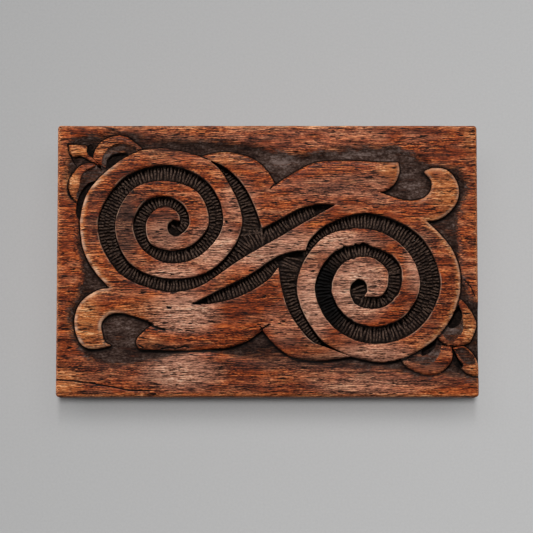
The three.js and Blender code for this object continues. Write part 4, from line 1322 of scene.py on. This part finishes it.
def dress_lid(piece):
    """Gives the lid's points how handled, rubbed, grimed and blackened they are, and where shade and
    highlights are painted on.
    """
    points = np.array([tuple(v.co) for v in piece.data.vertices]) / MM
    height = points[:, 2] - LID_TOP
    face = (height > -6).astype(float)
    figure = look_up(figure_field, points)
    groove = look_up(groove_field, points)
    ground = look_up(ground_field, points)
    petal, hollow, pocket = [np.min([look_up(field, points) for field in fields], axis=0)
                             for fields in (petal_fields, hollow_fields, pocket_fields)]
    inside = inside_board(points)
    off_figure = ease(figure, -0.12, 0.2)
    streaky = 0.2 * wander(points, (8, 2.2), 31)

    # The flanks' rounded edges are rubbed bare and painted with highlights, and the edges of the board are
    # rubbed bare
    flank = np.maximum(ease(np.abs(points[:, 0]), 68, 84), soft_places(points, [(65, 44, 5, 9, 1.0)]))
    flank *= ease(figure, -3.3, -1.2) * (1 - off_figure)
    edge = 1 - ease(inside, 0.3, 2.6)
    rubbed = soft_places(points, RUBBED_AND_HIGHLIT_PLACES) + streaky
    rubbed = np.max([rubbed, 0.75 * flank, (0.5 + 1.5 * streaky) * edge], axis=0)
    handled = soft_places(points, HANDLED_PLACES) + streaky
    grimed = soft_places(points, GRIME_AND_SHADE_PLACES) * (1 - 0.9 * flank) + 0.15 * wander(points, (10, 3), 33)

    # The stain is strongest at the foot of the figure and thins out over the slope up to the rim
    spread = -ground + 1.5 * wander(points, (6, 3), 32)
    on_ground = (0.25 + 0.75 * ease(spread, -0.5, 4)) * ease(spread, -1.4, 1.4) * off_figure
    on_ground *= ease(petal, -0.15, 0.25) * (1 - soft_places(points, REDDENED_PLACES))
    in_groove = ease(-groove, -0.05, 0.2)
    in_hollow = ease(-hollow, -0.1, 0.5) * off_figure
    in_pocket = ease(-pocket, -0.1, 0.2) * off_figure
    # Painted shade: a black line at the foot of the figure and its petals, widest where it faces the front,
    # as a painted cast shadow
    south = np.clip(-outward(figure_field, points[:, :2])[:, 1], 0, 1)
    contact_shade = off_figure * (1 - ease(figure, 0.35 + 0.5 * south, 1.0 + 1.2 * south))
    petal_contact_shade = off_figure * ease(petal, -0.1, 0.2) * (1 - ease(petal, 0.4, 1.4)) * ease(hollow, 0, 0.4)
    contact_shade = np.maximum(contact_shade, petal_contact_shade)
    # Painted shade on the groove walls
    wall = ease(-groove, 0, 0.15) * (1 - ease(-groove, 0.45, 1.0))
    nicks = np.max([1 - near_line(points, line, width) / width
                    for line, (_, width, _) in zip(nick_lines, NICKS)], axis=0)

    # Painted highlights: a thin pale line on knife edges that face sideways, where the side lamps glint, and
    # along the flanks' edges
    sideways = np.abs(outward(groove_field, points[:, :2])[:, 0])
    lip = ease(groove, -0.25, 0) * (1 - ease(groove, 0.15, 0.5)) * ease(sideways, 0.2, 0.75)
    lip *= 0.42 * np.clip(0.4 + 0.9 * wander(points, 4, 34), 0, 1)
    flank_highlight = flank * ease(figure, -1.9, -0.8) * np.clip(0.5 + 0.7 * wander(points, (6, 2), 35), 0, 1)
    flank_highlight *= np.where(points[:, 0] > 0, ease(figure, -1.4, -0.6) * 0.6, 1)

    # Blackened, deep and sooted carry stain and soot, and also the painted shade at the foot and on the
    # walls; lip is a painted highlight
    shares = {
        "handled": np.clip(handled, 0, 1),
        "rubbed": np.clip(rubbed, 0, 1),
        "blackened": np.max([on_ground * 0.95, in_groove * 1.5, in_hollow * 0.8, in_pocket * 1.5, contact_shade * 1.1,
                             nicks * 2.2], axis=0),
        "deep": np.max([in_groove, in_pocket, contact_shade, nicks], axis=0),
        "sooted": np.max([soot_and_shade_at(points[:, :2]) * in_groove, 0.75 * wall, 0.85 * contact_shade, nicks], axis=0),
        "dusty": soft_places(points, DUSTY_PLACES) - soft_places(points, CLEAN_PLACES),
        "lip": np.maximum(lip, 0.7 * flank_highlight),
    }
    for name, share in shares.items():
        set_attribute(piece, name, share * face)
    # The board's sides are evenly darker: grime and painted shade
    set_attribute(piece, "grimed", np.where(height > -2, np.clip(grimed, 0, 1), 0.7))

    # On the face the grain hardly changes with depth, so that the carved flanks don't look speckled
    grain_place = points * MM
    grain_place[:, 2] -= height * 0.75 * face * ease(inside, 0.3, 1.6) * MM
    set_attribute(piece, "grain_place", grain_place, "FLOAT_VECTOR")


def settle(piece, body, slot, *nodes):
    """Says what the finished piece rides on and what it stands for. Slot, where its finish comes from, is not
    used.
    """
    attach(piece, body)
    if nodes:
        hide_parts(*nodes)


# Assembly

lid = combined(carved_board(), hinge_cuts(), "DIFFERENCE")
dress_lid(lid)
settle(finished(lid, carved_hardwood(), 50), "lid", "carved_hardwood", "carved_lid")
settle(laid_cuts(cut_hardwood()), "lid", "carved_hardwood")

long_wood = planed_hardwood("planed_hardwood_long_boards", 0)
side_wood = planed_hardwood("planed_hardwood_side_boards", 1)
for node, wood in (("front_wall", long_wood), ("back_wall", long_wood), ("left_wall", side_wood),
                   ("right_wall", side_wood), ("bottom_board", long_wood)):
    board = bevelled(from_cad(node, node + "_board"), 0.5, 3, 9)
    settle(finished(board, wood), "box", "plain_hardwood", node)

corner_places = []
corner_names = []
for side_name, side in (("front", -1), ("back", 1)):
    for end_name, end in (("left", -1), ("right", 1)):
        for i, height in enumerate(CORNER_PEG_HEIGHTS):
            x = end * (BOX_LENGTH / 2 - CORNER_PEG_INSET)
            corner_places.append((x, side * BOX_WIDTH / 2, height, -90 * side))
            corner_names.append(f"corner_peg_{side_name}_{end_name}_{i + 1}")
corner_wood = peg_hardwood("peg_hardwood_across", 1)
corner_pegs = set_copies("corner_pegs", peg(*CORNER_PEG), corner_places, 180, 3, corner_wood)
settle(corner_pegs, "box", "peg_hardwood", *corner_names)

bottom_places = [(x, y, 0, 180) for x, y in BOTTOM_PEG_PLACES]
bottom_names = [f"bottom_peg_{i + 1}" for i in range(len(bottom_places))]
bottom_wood = peg_hardwood("peg_hardwood_upright", 2)
bottom_pegs = set_copies("bottom_pegs", peg(*BOTTOM_PEG), bottom_places, 180, 5, bottom_wood)
settle(bottom_pegs, "box", "peg_hardwood", *bottom_names)

brass = aged_brass()
for hinge, middle in zip(("left", "right"), HINGE_MIDDLES):
    for part, own_knuckles, upward, body in (("body", (0, 2, 4), -1, "box"), ("lid", (1, 3), 1, "lid")):
        leaf = finished(hinge_leaf(f"{hinge}_{part}_leaf", middle, own_knuckles, upward), brass)
        settle(leaf, body, "hinge_brass", f"{hinge}_hinge_{part}_leaf")
    pin = finished(hinge_pin(f"{hinge}_pin", middle), brass)
    settle(pin, "box", "hinge_brass", f"{hinge}_hinge_pin")

for body, part, upward, tilt, seed in (("box", "body", -1, 0, 7), ("lid", "lid", 1, 180, 9)):
    places = [(middle + x, HINGE_AXIS_Y - SCREW_ROW, BOX_HEIGHT + upward * LEAF_INSET, tilt)
              for middle in HINGE_MIDDLES for x in SCREW_PLACES]
    screws = set_copies(f"{body}_hinge_screws", wood_screw(), places, 90, seed, brass)
    settle(screws, body, "hinge_brass",
           *[f"{hinge}_hinge_{part}_screw_{i}" for hinge in ("left", "right") for i in (1, 2, 3)])

studio()
